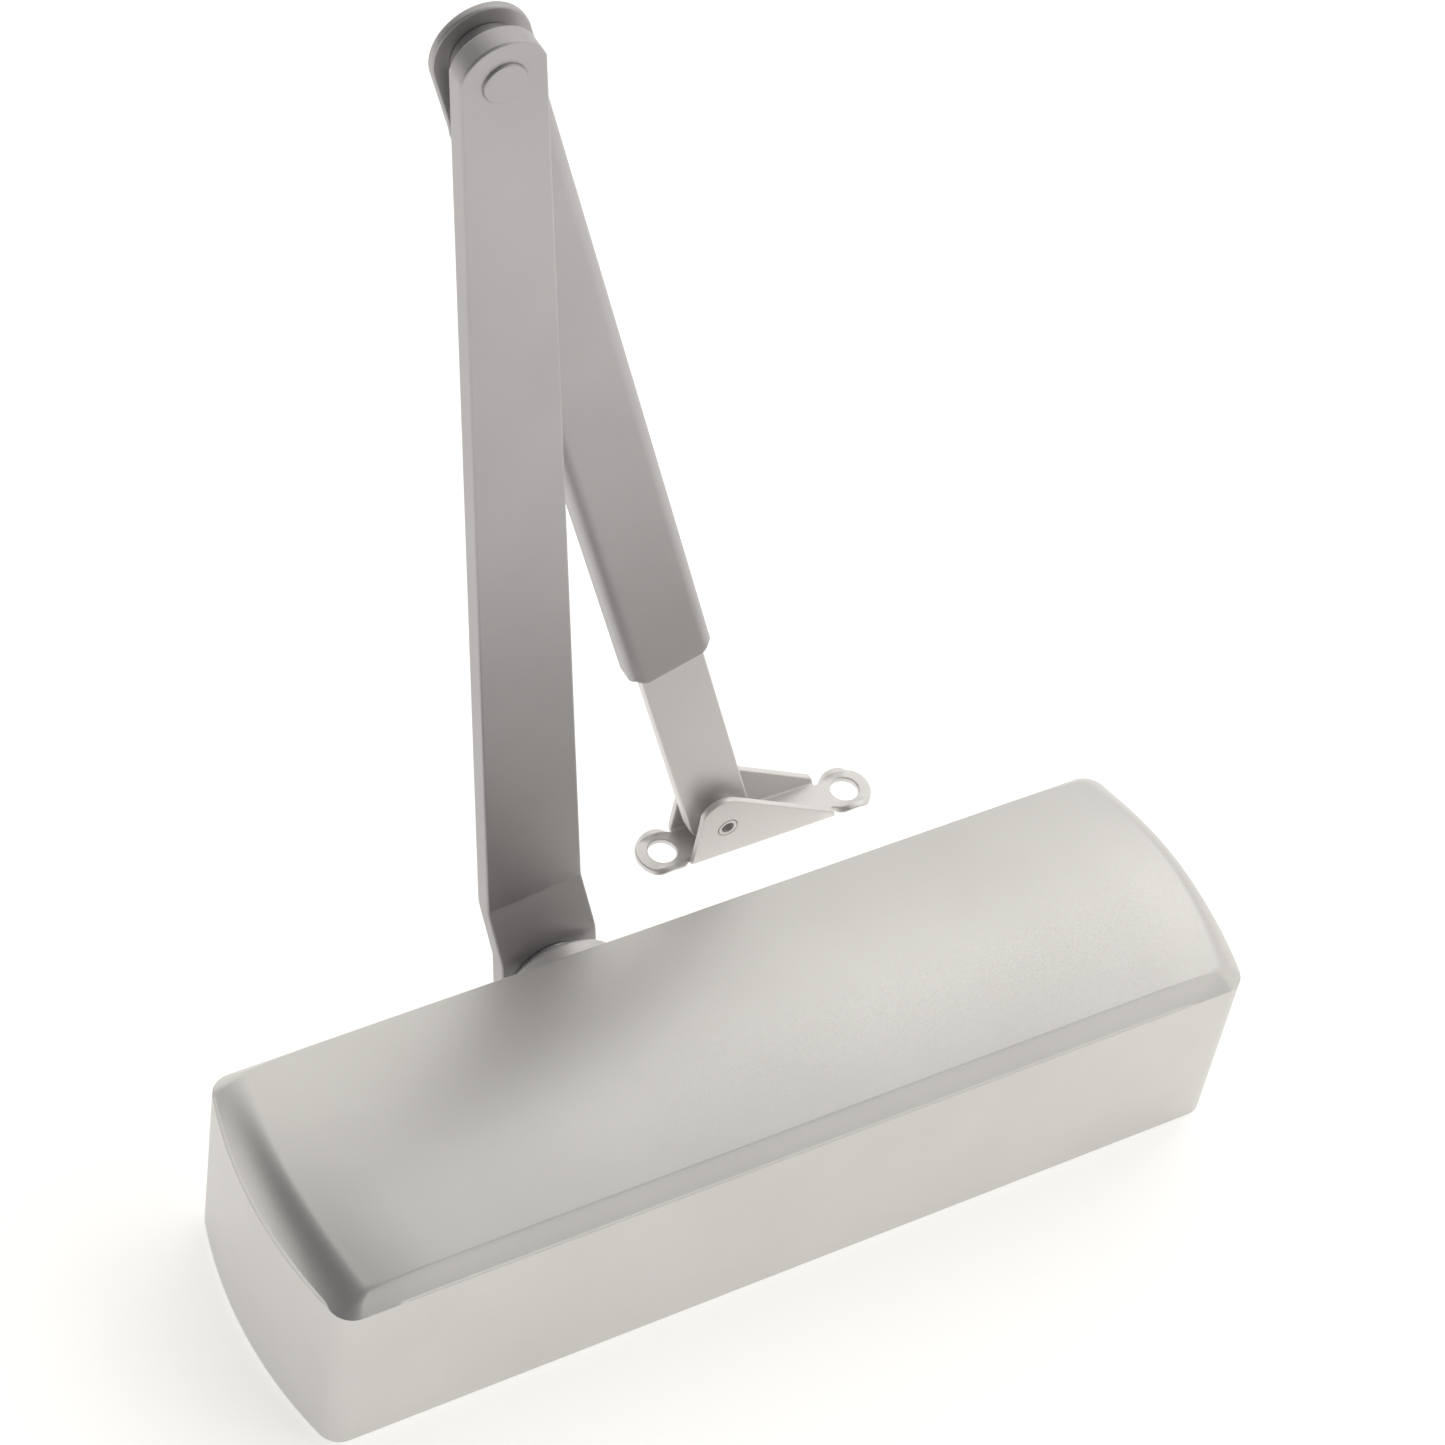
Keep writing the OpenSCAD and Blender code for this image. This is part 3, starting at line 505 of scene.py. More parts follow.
class CoverShape:
    """The cover's outline and surface, in millimetres, from its box."""

    def __init__(self):
        x0, x1 = span("cover", "X")
        y0, y1 = span("cover", "Y")
        self.rim, top = span("cover", "Z")
        self.half_l, self.half_w = (x1 - x0) / 2, (y1 - y0) / 2
        self.edge_h = top - COVER_CROWN
        self.big = (self.half_w ** 2 + COVER_BOW ** 2) / (2 * COVER_BOW)
        self.centre = self.half_l - self.big

    def end_x(self, y):
        """How far the bowed end reaches at a place across the cover."""
        return self.centre + math.sqrt(self.big ** 2 - y ** 2)

    def end(self, depth, pull):
        """The outline in plan at one end: a corner, the bow and the other corner."""
        corner_y = self.half_w - COVER_CORNER
        corner_x = self.centre + math.sqrt((self.big - COVER_CORNER) ** 2 - corner_y ** 2)
        turn = math.degrees(math.atan2(corner_y, corner_x - self.centre))
        low = arc(corner_x, -corner_y, COVER_CORNER - depth, -90, -turn, CORNER_POINTS)
        bow = arc(self.centre, 0, self.big - depth, -turn, turn, BOW_POINTS)
        high = arc(corner_x, corner_y, COVER_CORNER - depth, turn, 90, CORNER_POINTS)
        return [(x - pull, y) for x, y in low + bow[1:-1] + high]

    def loop(self, depth, pull=0.0):
        """The whole outline, anticlockwise, moved in by depth and, at the ends, by pull as well."""
        end = self.end(depth, pull)
        x, y = end[-1]
        side = [(x * (1 - 2 * share(k)), y) for k in range(1, COVER_COLUMNS)]
        return end + side + [(-p, -q) for p, q in end] + [(-p, -q) for p, q in side]

    def height(self, x, y, f, depth):
        """Height of the surface: f runs from 0 at the top of the walls to 1 on the front."""
        crown = COVER_ROUND + COVER_CROWN * (1 - (y / self.half_w) ** 2)
        from_end = max(0, self.end_x(y) - END_INSET - depth - abs(x))
        roll = ROLL_DROP * max(0, 1 - from_end / ROLL_LENGTH) ** 2
        return self.edge_h - COVER_ROUND + (crown - roll) * f - depth

    def skin(self, depth):
        """Rings up one skin of the cover, from the rim to the edge of the front."""
        rings = [[(x, y, self.rim + RIM_EDGE) for x, y in self.loop(depth)]]
        for k in range(EDGE_STEPS + 1):
            t = k / EDGE_STEPS
            rise = 1 - (1 - t) ** 2
            inward = SIDE_INSET * (rise + (t - rise) * EDGE_SOFTNESS)
            loop = self.loop(depth + inward, END_INSET * t - inward)
            rings.append([(x, y, self.height(x, y, rise, depth)) for x, y in loop])
        return rings

    def front(self, ring, depth):
        """Points and faces of the crowned front inside the last ring."""
        per_end = len(self.end(0, 0))
        verts, faces, rows = [], [], []
        for i in range(per_end):
            right, left = i, 2 * per_end + COVER_COLUMNS - 2 - i
            if i == 0:
                row = [right] + [len(ring) - 1 - k for k in range(COVER_COLUMNS - 1)] + [left]
            elif i == per_end - 1:
                row = [right] + [per_end + k for k in range(COVER_COLUMNS - 1)] + [left]
            else:
                row = [right]
                x, y, _ = ring[right]
                for k in range(1, COVER_COLUMNS):
                    column = x * (1 - 2 * share(k))
                    row.append(len(ring) + len(verts))
                    verts.append((column, y, self.height(column, y, 1, depth)))
                row.append(left)
            rows.append(row)
        for low, high in zip(rows, rows[1:]):
            for k in range(COVER_COLUMNS):
                faces.append([low[k], high[k], high[k + 1], low[k + 1]])
        return verts, faces


def share(column):
    """Place of a column along the cover, closer together towards the ends."""
    even = column / COVER_COLUMNS
    return EVEN_COLUMNS * even + (1 - EVEN_COLUMNS) / 2 * (1 - math.cos(math.pi * even))


def cover_skins(shape):
    """The closed shell: the outer skin, the rim, the inner skin and both sides of the front."""
    outer, inner = shape.skin(0), shape.skin(COVER_WALL)
    rim = []
    for depth in (RIM_EDGE, COVER_WALL - RIM_EDGE):
        rim.append([(x, y, shape.rim) for x, y in shape.loop(depth)])
    rings = outer[::-1] + rim + inner
    count = len(rings[0])
    verts = [p for ring in rings for p in ring]
    faces = []
    for k in range(len(rings) - 1):
        low, high = k * count, (k + 1) * count
        for i in range(count):
            j = (i + 1) % count
            faces.append((low + i, high + i, high + j, low + j))
    last = (len(rings) - 1) * count
    for ring, first, depth in ((outer[-1], 0, 0), (inner[-1], last, COVER_WALL)):
        points, polygons = shape.front(ring, depth)
        for polygon in polygons:
            polygon = [first + i if i < count else len(verts) + i - count for i in polygon]
            faces.append(polygon if depth == 0 else polygon[::-1])
        verts += points
    return [Vector(v) * MM for v in verts], faces


def build_cover():
    """The cover, with the ribs inside it and the slot over the spindle boss."""
    shape = CoverShape()
    cover = add_piece("cover_shell", "cover", "cover_paint", *cover_skins(shape), ["cover"])
    ribs = [cover_rib(x, side, shape.half_w) for x in (-RIB_X, RIB_X) for side in (-1, 1)]
    shape_with(cover, joined(*ribs), "UNION")
    shape_with(cover, spindle_slot(shape.half_w), "DIFFERENCE")


def box_solid(low, high):
    """A plain box, used to cut or join."""
    corners = [Vector(corner) * MM for corner in product(*zip(low, high))]
    faces = [(0, 1, 3, 2), (4, 6, 7, 5), (0, 4, 5, 1), (2, 3, 7, 6), (0, 2, 6, 4), (1, 5, 7, 3)]
    return corners, faces


def cover_rib(x, side, half_w):
    """One of the four ribs inside the long walls, which centre the cover on the body."""
    near = -span("housing", "Y")[0] - BOSS_REACH
    far = half_w - COVER_WALL / 2
    low, high = sorted((side * near, side * far))
    return box_solid((x - RIB_T / 2, low, RIB_Z[0]), (x + RIB_T / 2, high, RIB_Z[1]))


def spindle_slot(half_w):
    """The slot that lets the cover lift off over the spindle boss."""
    x, z = spindle_point.x / MM, spindle_point.z / MM
    outline = [(x - SLOT_HALF, -SLOT_BELOW), (x + SLOT_HALF, -SLOT_BELOW)]
    outline += arc(x, z, SLOT_HALF, 0, 180, steps=36)
    count = len(outline)
    depths = (half_w - SLOT_INWARD, half_w + SLOT_OUTWARD)
    verts = [Vector((p, y, q)) * MM for y in depths for p, q in outline]
    faces = [list(range(count)), list(range(count, 2 * count))[::-1]]
    faces += [(i, i + count, (i + 1) % count + count, (i + 1) % count) for i in range(count)]
    return verts, faces


def shape_with(piece, solid, operation):
    """Joins a solid to a piece, or cuts it out, and keeps the result as the piece's mesh."""
    verts, faces = solid
    mesh = bpy.data.meshes.new("tool")
    bm = bmesh.new()
    made = [bm.verts.new(v) for v in verts]
    for face in faces:
        bm.faces.new([made[i] for i in face])
    bmesh.ops.recalc_face_normals(bm, faces=bm.faces)
    bm.to_mesh(mesh)
    bm.free()
    tool = bpy.data.objects.new("tool", mesh)
    bpy.context.scene.collection.objects.link(tool)
    piece.modifiers.clear()
    cut = piece.modifiers.new("cut", "BOOLEAN")
    cut.object = tool
    cut.operation = operation
    cut.solver = "EXACT"
    shaped = piece.evaluated_get(bpy.context.evaluated_depsgraph_get())
    mesh = bpy.data.meshes.new_from_object(shaped)
    piece.modifiers.clear()
    piece.data = mesh
    bpy.data.objects.remove(tool)
    smooth(piece)


# ---- arms ----

ARM_T = 5.0
ARM_BEND_R = 4.0
ARM_EYE_R = 12.0
ARM_HUB_HALF = 11.6
ARM_TIP_HALF = 8.4
ARM_TIP_R = 8.8
ARM_STEP_START = 9.2
ARM_STEP_END = 20.8
ARM_ROUND = 0.55
# Places along and across the arm where its plate has points, so that it can bend
ARM_STATIONS = [ARM_STEP_START - 5 + 0.5 * k for k in range(40)]
ARM_ROWS = (-8, -4, 0, 4, 8)
SQUARE_HALF = 4.9
SQUARE_ROUND = 0.5
RIVET_R = 3.0
RIVET_FIT = 0.02


def arm_level(s, low, rise):
    """Height and slope of the arm's middle surface at a distance from the spindle."""
    slope = math.atan2(rise, ARM_STEP_END - ARM_STEP_START)
    shift = ARM_T * math.tan(slope / 2) / 2
    reach = ARM_BEND_R * math.tan(slope / 2)
    middle = (ARM_STEP_START + ARM_STEP_END) / 2 - shift
    half_run = (ARM_STEP_END - ARM_STEP_START) / 2 + reach
    back = middle + half_run - s if s > middle else s - middle + half_run
    if back <= 0:
        height, lean = 0, 0
    elif back < ARM_BEND_R * math.sin(slope):
        lean = math.asin(back / ARM_BEND_R)
        height = ARM_BEND_R * (1 - math.cos(lean))
    else:
        lean = slope
        height = rise / 2 - (half_run - back) * math.tan(slope)
    centre = low + ARM_T / 2
    return (centre + rise - height if s > middle else centre + height), lean


def main_arm_outline():
    """The arm in plan: a large eye at the spindle and straight tapering sides to a small eye."""
    taper = math.degrees(math.atan2(ARM_HUB_HALF - ARM_TIP_HALF, ARM_L))
    hub = math.degrees(math.pi / 2 - math.asin(ARM_HUB_HALF / ARM_EYE_R)) + 90
    tip = math.degrees(math.asin(ARM_TIP_HALF / ARM_TIP_R))
    far_eye = arc(ARM_L, 0, ARM_TIP_R, -tip, tip, steps=28)
    near_eye = arc(0, 0, ARM_EYE_R, hub - taper, 360 - hub + taper, steps=36)
    return far_eye + near_eye


def build_main_arm():
    """The tapering arm with its step near the spindle."""
    low, high = span("main_arm", "Y")
    rise = high - low - ARM_T

    def place(s, t, h):
        """Lays a point of the flat plate on the stepped arm."""
        level, lean = arm_level(s, low, rise)
        lift = h - ARM_T / 2
        return arm_space.at(s - lift * math.sin(lean), t, level + lift * math.cos(lean))

    half = SQUARE_HALF
    square = soften([(-half, -half), (-half, half), (half, half), (half, -half)], SQUARE_ROUND)
    loops = [main_arm_outline(), square, circle(ARM_L, 0, RIVET_R + RIVET_FIT)]
    lines = [(0, s) for s in ARM_STATIONS] + [(1, t) for t in ARM_ROWS]
    bar = pressed(loops, ARM_T, ARM_ROUND, place, lines)
    add_piece("main_arm_bar", "arm", "satin_paint", *bar, ["main_arm"])


SLEEVE_HALF = 9.8
SLEEVE_WALL = 1.8
SLEEVE_CORNER = 3.0
SLEEVE_GAP = 12.0
SLEEVE_L = 198.0
FLAT_END = 12.0
FOLDED = 20.0
GROWTH_START = FOLDED + 6
FULL_SECTION = 38.0
LEAST_FOLD = 0.001
SLEEVE_ROUND = 0.45
SLEEVE_EYE_FIT = 0.05
RAMP_STEPS = 20
FOLD_STEPS = 7
# Places along and across the channel where its plate has more points
CHANNEL_STATIONS = range(40, 198, 12)
CHANNEL_ROW = 3.4
LIP_CUT = 2.6
NOTCH_HALF = 1.8
NOTCH_DEPTH = 1.4


def ease(value, start, end):
    """0 before start, 1 after end and a smooth rise between."""
    f = min(1, max(0, (value - start) / (end - start)))
    return f * f * (3 - 2 * f)


class SleeveBlank:
    """The flat blank of the channel, in millimetres, and the way it folds up."""

    def __init__(self):
        self.low, high = span("forearm_sleeve", "Y")
        self.bend = SLEEVE_CORNER - SLEEVE_WALL / 2
        self.flat = SLEEVE_HALF - SLEEVE_CORNER
        self.corner = self.bend * math.pi / 2
        self.wall = high - self.low - 2 * SLEEVE_CORNER
        lip = self.flat - SLEEVE_GAP / 2
        self.half = self.flat + self.corner + self.wall + self.corner + lip
        growing = FULL_SECTION - FLAT_END
        self.ramp = [FLAT_END + growing * k / RAMP_STEPS for k in range(RAMP_STEPS + 1)]

    def place(self, s, t, h):
        """Walks across the blank and turns it up at its two corners on each side."""
        folded = ease(s, FLAT_END, FOLDED)
        side, left = (1 if t > 0 else -1), abs(t)
        x = y = turn = 0
        corner = (self.corner, True)
        stretches = ((self.flat, False), corner, (self.wall, False), corner, (self.half, False))
        for length, bends in stretches:
            run = min(left, length)
            left -= run
            if bends and folded > LEAST_FOLD:
                r = self.bend / folded
                x += r * (math.sin(turn + run / r) - math.sin(turn))
                y += r * (math.cos(turn) - math.cos(turn + run / r))
                turn += run / r
            else:
                x += run * math.cos(turn)
                y += run * math.sin(turn)
        lift = h - SLEEVE_WALL / 2
        level = self.low + SLEEVE_WALL / 2 + y + lift * math.cos(turn)
        return knuckle_space.at(s, side * (x - lift * math.sin(turn)), level)

    def outline(self):
        """The blank: an eye, sides that grow to the full width, cut lips and notched end folds."""
        upper = []
        for s in self.ramp:
            grown = ease(s, GROWTH_START, FULL_SECTION)
            upper.append((s, SLEEVE_HALF + (self.half - SLEEVE_HALF) * grown))
        upper += [(SLEEVE_L - LIP_CUT, self.half), (SLEEVE_L, self.half - LIP_CUT)]
        fold = self.flat + self.corner / 2
        upper += [(SLEEVE_L, fold + NOTCH_HALF), (SLEEVE_L - NOTCH_DEPTH, fold)]
        upper.append((SLEEVE_L, fold - NOTCH_HALF))
        return [(s, -t) for s, t in upper] + upper[::-1] + arc(0, 0, SLEEVE_HALF, 90, 270, steps=40)

    def lines(self):
        """Where the plate has points: in the folds, up the ramp and along the channel."""
        rows = []
        for start in (self.flat, self.flat + self.corner + self.wall):
            rows += [start + self.corner * k / FOLD_STEPS for k in range(FOLD_STEPS + 1)]
        rows.append(CHANNEL_ROW)
        lines = [(1, side * t) for t in rows for side in (-1, 1)]
        return lines + [(0, s) for s in self.ramp] + [(0, s) for s in CHANNEL_STATIONS]


def build_sleeve():
    """The folded channel that carries the slide bar."""
    blank = SleeveBlank()
    loops = [blank.outline(), circle(0, 0, RIVET_R + SLEEVE_EYE_FIT)]
    channel = pressed(loops, SLEEVE_WALL, SLEEVE_ROUND, blank.place, blank.lines())
    add_piece("forearm_channel", "forearm", "satin_paint", *channel, ["forearm_sleeve"])


BAR_HALF = 7.5
BAR_START = 92
BAR_CORNER = 1
BAR_ROUND = 0.5
BAR_SLOT = (102.5, 192.5)
BAR_SLOT_R = 2.7
BAR_EYE_HOLE_R = 2.45


def build_slide_bar():
    """The flat bar with its slot for the clamp and its eye at the bracket."""
    low, high = span("slide_bar", "Y")
    half, cut = BAR_HALF, BAR_HALF - BAR_CORNER
    outline = [(BAR_START + BAR_CORNER, half), (BAR_START, cut)]
    outline += [(s, -t) for s, t in reversed(outline)]
    outline += arc(FOREARM_L, 0, half, -90, 90, steps=32)
    slot = arc(BAR_SLOT[0], 0, BAR_SLOT_R, 270, 90, steps=16)
    slot += arc(BAR_SLOT[1], 0, BAR_SLOT_R, 90, -90, steps=16)
    loops = [outline, slot, circle(FOREARM_L, 0, BAR_EYE_HOLE_R, steps=32)]

    def place(s, t, h):
        """Lays a point of the plate at the bar's level."""
        return knuckle_space.at(s, t, low + h)

    strip = pressed(loops, high - low, BAR_ROUND, place)
    add_piece("slide_bar_strip", "bar", "light_paint", *strip, ["slide_bar"])


BRACKET_T = 1.6
BRACKET_BEND = 1.4
BRACKET_ROUND = 0.35
FLANGE_X = (-7.6, 29.3)
EYE_R = 6.2
EYE_HOLE_R = 3.3
EYE_X = (-12.2, 35.2)
NECK_HALF = 3.8
FLANK_RISE = 2
# The flange's edge, as heights from the pivot: its low end, the round ear and the foot of the ear
LOW_END_Z = -8.9
LOW_END_R = 1.5
LOW_END_INSET = 1.6
EAR_CENTRE = (-1.8, 4.2)
EAR_R = 5.4
EAR_SWEEP = (62, 165)
EAR_FOOT = (0.6, 3)
PIVOT_HOLE_R = 2.42
BRACKET_FOLD_STEPS = 6
BRACKET_STATIONS = range(-6, 29, 5)


class BracketBlank:
    """The flat blank of the bracket, in millimetres, and the way it folds into a U."""

    def __init__(self):
        low, high = span("frame_bracket", "Y")
        self.z_low = span("frame_bracket", "Z")[0] - pivot_point.z / MM
        self.middle = (low + high) / 2
        self.flat = (high - low) / 2 - BRACKET_T / 2 - BRACKET_BEND
        self.corner = BRACKET_BEND * math.pi / 2

    def place(self, x, v, h):
        """Walks across the blank: base, bend, then up one side."""
        side, left = (1 if v > 0 else -1), abs(v)
        run = min(left, self.flat)
        turn = min(left - run, self.corner) / BRACKET_BEND
        lift = h - BRACKET_T / 2
        y = run + BRACKET_BEND * math.sin(turn) - lift * math.sin(turn)
        z = BRACKET_BEND * (1 - math.cos(turn)) + max(0, left - self.flat - self.corner)
        z += BRACKET_T / 2 + lift * math.cos(turn)
        return pivot_space.at(x, -(self.z_low + z), self.middle + side * y)

    def rise(self, z):
        """Distance across the blank of a height above the pivot."""
        return self.flat + self.corner + (z - self.z_low) - BRACKET_T / 2 - BRACKET_BEND

    def flange(self):
        """One flange's edge, from its low end over the ear to the neck of the left eye."""
        left, right = FLANGE_X
        edge = arc(right - LOW_END_INSET, LOW_END_Z, LOW_END_R, 0, 60, steps=5)[1:]
        edge += arc(*EAR_CENTRE, EAR_R, *EAR_SWEEP, steps=18)
        edge.append((left + EAR_FOOT[0], EAR_FOOT[1]))
        flange = [(right, NECK_HALF), (right, self.rise(LOW_END_Z))]
        flange += [(x, self.rise(z)) for x, z in edge]
        return flange + [(left, NECK_HALF + FLANK_RISE), (left, NECK_HALF)]

    def loops(self):
        """The blank's outline, its two screw holes and its two rivet holes."""
        neck = math.degrees(math.asin(NECK_HALF / EYE_R))
        flange = self.flange()
        outline = arc(EYE_X[1], 0, EYE_R, -180 + neck, 180 - neck, steps=40) + flange
        outline += arc(EYE_X[0], 0, EYE_R, neck, 360 - neck, steps=40)
        outline += [(x, -v) for x, v in reversed(flange)]
        holes = [circle(x, 0, EYE_HOLE_R) for x in EYE_X]
        holes += [circle(0, side * self.rise(0), PIVOT_HOLE_R, steps=28) for side in (-1, 1)]
        return [outline] + holes

    def lines(self):
        """Where the plate has points: in the folds and along the base."""
        steps = range(BRACKET_FOLD_STEPS + 1)
        folds = [self.flat + self.corner * k / BRACKET_FOLD_STEPS for k in steps]
        return [(1, side * v) for v in folds for side in (-1, 1)] + [(0, x) for x in BRACKET_STATIONS]


def build_bracket():
    """The U-shaped bracket that is screwed to the door frame."""
    blank = BracketBlank()
    pressing = pressed(blank.loops(), BRACKET_T, BRACKET_ROUND, blank.place, blank.lines())
    add_piece("bracket_pressing", "bracket", "light_paint", *pressing, ["frame_bracket"])


# ---- turned and small parts ----

COLLAR_BORE = 7.6
COLLAR_R = 14.4
COLLAR_CHAMFER = 1.3
COLLAR_ROUND = 0.5
# name, node, finish, space, inner radius, outer radius, edge rounding
ARM_RINGS = (
    ("spacer_ring", "spindle_spacer", "zinc_steel", arm_space, 7.02, 9.5, 0.4),
    ("washer_ring", "arm_washer", "zinc_steel", arm_space, 3.02, 8, 0.3),
    ("knuckle_ring", "knuckle_spacer", "satin_paint", knuckle_space, 3.02, 6.5, 0.35),
)


def build_turned_parts():
    """The rings round the spindle, then the screw, the rivets and the clamp."""
    low, high = span("spindle_collar", "Y")
    collar = [(COLLAR_BORE, low), (COLLAR_R, low), (COLLAR_R, high - COLLAR_CHAMFER),
              (COLLAR_R - COLLAR_CHAMFER, high), (COLLAR_BORE, high)]
    turned = lathe(soften(collar, COLLAR_ROUND), arm_space, sides=96)
    add_piece("collar_ring", "closer", "light_paint", *turned, ["spindle_collar"])
    for name, node, finish, space, inner, outer, rounding in ARM_RINGS:
        ring = lathe(ring_profile(inner, outer, *span(node, "Y"), rounding), space)
        add_piece(name, "arm", finish, *ring, [node])
    build_arm_screw()
    build_knuckle_rivet()
    build_bracket_rivet()
    build_clamp()


SCREW_R = 3
SCREW_HEAD_R = 5
SCREW_CHAMFER = 0.4
SOCKET_R = 2.9
SOCKET_FLATS = 5.0
SOCKET_DEPTH = 2.6


def build_arm_screw():
    """The cap screw that holds the arm on the spindle, with its hexagon socket."""
    low, high = span("arm_screw", "Y")
    head_low = span("arm_washer", "Y")[1]
    floor = high - SOCKET_DEPTH
    shank = [(0, low), (SCREW_R - SCREW_CHAMFER, low), (SCREW_R, low + 0.6), (SCREW_R, head_low)]
    head = [(SCREW_HEAD_R - SCREW_CHAMFER, head_low), (SCREW_HEAD_R, head_low + SCREW_CHAMFER),
            (SCREW_HEAD_R, high - 0.8), (SCREW_HEAD_R - 0.6, high)]
    socket = [(SOCKET_R + 0.3, high), (SOCKET_R, high - 0.3), (SOCKET_R, floor), (0, floor - 0.6)]
    hexed = hexagon(SOCKET_FLATS)

    def shape(r, h, a):
        """Makes only the socket's wall and floor hexagonal."""
        return hexed(r, h, a) if r < SCREW_R and h > head_low else r

    screw = lathe(shank + head + socket, arm_space, shape=shape)
    add_piece("arm_cap_screw", "arm", "zinc_steel", *screw, ["arm_screw"])


RIVET_HEAD_R = 4.3
RIVET_HEAD_T = 1.2
# The flared end of the tube rivet: radius and depth below its top
FLARE = ((1.4, 0.3), (1.6, 0), (2.2, 0), (2.35, 0.45), (2.65, 0.5), (2.8, 0.1), (3.15, 0.2), (3.3, 0.7),
         (2.4, 0.7))
RING_BORE_R = 2.42
RING_R = 5.2
RING_ROUND = 0.2
RING_GAP = 0.2


def build_knuckle_rivet():
    """The rivet the forearm turns on, with a flat and a domed head."""
    low, high = span("knuckle_rivet", "Y")
    arm_low = span("main_arm", "Y")[1] - ARM_T
    head = RIVET_HEAD_R
    under = high - RIVET_HEAD_T
    near = [(0, low), (head - 0.7, low), (head - 0.2, low + 0.15), (head, low + 0.45), (head, arm_low),
            (RIVET_R, arm_low)]
    far = [(RIVET_R, under), (head, under), (head, high - 0.5), (head - 0.4, high - 0.1), (0, high)]
    rivet = lathe(near + far, knuckle_space)
    add_piece("knuckle_rivet_pin", "arm", "satin_paint", *rivet, ["knuckle_rivet"])


def build_bracket_rivet():
    """The tube rivet of the bracket and the rings that centre the slide bar on it."""
    low, high = span("bracket_rivet", "Y")
    profile = [(r, low + h) for r, h in FLARE] + [(r, high - h) for r, h in FLARE[::-1]]
    tube = lathe(profile, pivot_space, sides=56)
    add_piece("bracket_rivet_tube", "bracket", "light_paint", *tube, ["bracket_rivet"])
    low, high = span("bracket_washers", "Y")
    bar_low, bar_high = span("slide_bar", "Y")
    rings = []
    for start, end in ((low, bar_low - RING_GAP), (bar_high + RING_GAP, high)):
        profile = ring_profile(RING_BORE_R, RING_R, start, end, RING_ROUND)
        rings.append(lathe(profile, pivot_space, sides=56))
    add_piece("bracket_spacer_rings", "bracket", "zinc_steel", *joined(*rings), ["bracket_washers"])


CLAMP_PLACES = (150, 175)
CLAMP_FIT = 0.05
STUD_R = 2.4
STUD_CHAMFER = 0.5
THREADS = 9
THREAD_PITCH = 0.8
THREAD_DEPTH = 0.28
THREAD_LEAD = 3.6
THREAD_START = 4
WELD_SINK = 0.1
CLAMP_WASHER_R = 5
CLAMP_WASHER_ROUND = 0.25
NUT_FLATS = 8.0
NUT_CORNER_R = 4.6
NUT_BORE_EDGE = 0.5
NUT_BORE_WALL = 0.6


def stud_profile(low, high, nut_low):
    """A threaded stud, welded in the channel at its low end."""
    thread = [(STUD_R, nut_low - THREAD_START)]
    for k in range(THREADS):
        h = nut_low - THREAD_LEAD + THREAD_PITCH * k
        thread += [(STUD_R, h), (STUD_R - THREAD_DEPTH, h + 0.3), (STUD_R, h + 0.6)]
    thread = [p for p in thread if p[1] < high - STUD_CHAMFER]
    weld = low + SLEEVE_WALL - WELD_SINK
    return [(0, weld), (STUD_R, weld)] + thread + [(STUD_R - STUD_CHAMFER, high), (0, high)]


def nut_profile(low, high):
    """A nut with chamfered corners and a chamfered bore."""
    bore, corner = STUD_R + CLAMP_FIT, NUT_CORNER_R
    outside = [(bore, low), (corner - 0.7, low), (corner, low + 0.4), (corner, high - 0.5)]
    top = [(corner - 0.8, high), (STUD_R + NUT_BORE_EDGE, high), (bore, high - NUT_BORE_EDGE)]
    return outside + top


NUT_HEXAGON = hexagon(NUT_FLATS)


def nut_shape(r, h, a):
    """A shape for lathe: hexagonal outside, with the bore left round."""
    return NUT_HEXAGON(r, h, a) if r > STUD_R + NUT_BORE_WALL else r


def build_clamp():
    """Studs, washers and nuts that clamp the slide bar in the channel."""
    nut_low, nut_high = span("clamp_nuts", "Y")
    stud = stud_profile(*span("clamp_studs", "Y"), nut_low)
    low, high = span("clamp_washers", "Y")
    washer = ring_profile(STUD_R + CLAMP_FIT, CLAMP_WASHER_R, low, high, CLAMP_WASHER_ROUND)
    nut = nut_profile(nut_low, nut_high)
    studs = [lathe(stud, knuckle_space, (s, 0), 40) for s in CLAMP_PLACES]
    washers = [lathe(washer, knuckle_space, (s, 0), 56) for s in CLAMP_PLACES]
    nuts = [lathe(nut, knuckle_space, (s, 0), 72, nut_shape) for s in CLAMP_PLACES]
    add_piece("stud_pair", "forearm", "zinc_steel", *joined(*studs), ["clamp_studs"])
    add_piece("washer_pair", "forearm", "zinc_steel", *joined(*washers), ["clamp_washers"])
    add_piece("nut_pair", "forearm", "zinc_steel", *joined(*nuts), ["clamp_nuts"])


CLOSING_MEAN_R = 11.8
CLOSING_WIRE_R = 1.7
CLOSING_TURNS = 6.5
CHECK_MEAN_R = 1.6
CHECK_WIRE_R = 0.3
CHECK_TURNS = 4


def build_springs():
    """The closing spring, which is squashed by the piston, and the small check valve spring."""
    low, high = span("closing_spring", "X")
    wound = coil(bore_space, CLOSING_MEAN_R, CLOSING_WIRE_R, low, high, CLOSING_TURNS)
    spring = add_piece("closing_coil", "closer", "spring_steel", *wound, ["closing_spring"])
    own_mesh(spring)
    low, high = span("check_valve_spring", "X")
    wound = coil(bore_space, CHECK_MEAN_R, CHECK_WIRE_R, low, high, CHECK_TURNS, per_turn=24, sides=8)
    add_piece("check_coil", "piston", "spring_steel", *wound, ["check_valve_spring"])


# ---- CAD nodes that stay ----

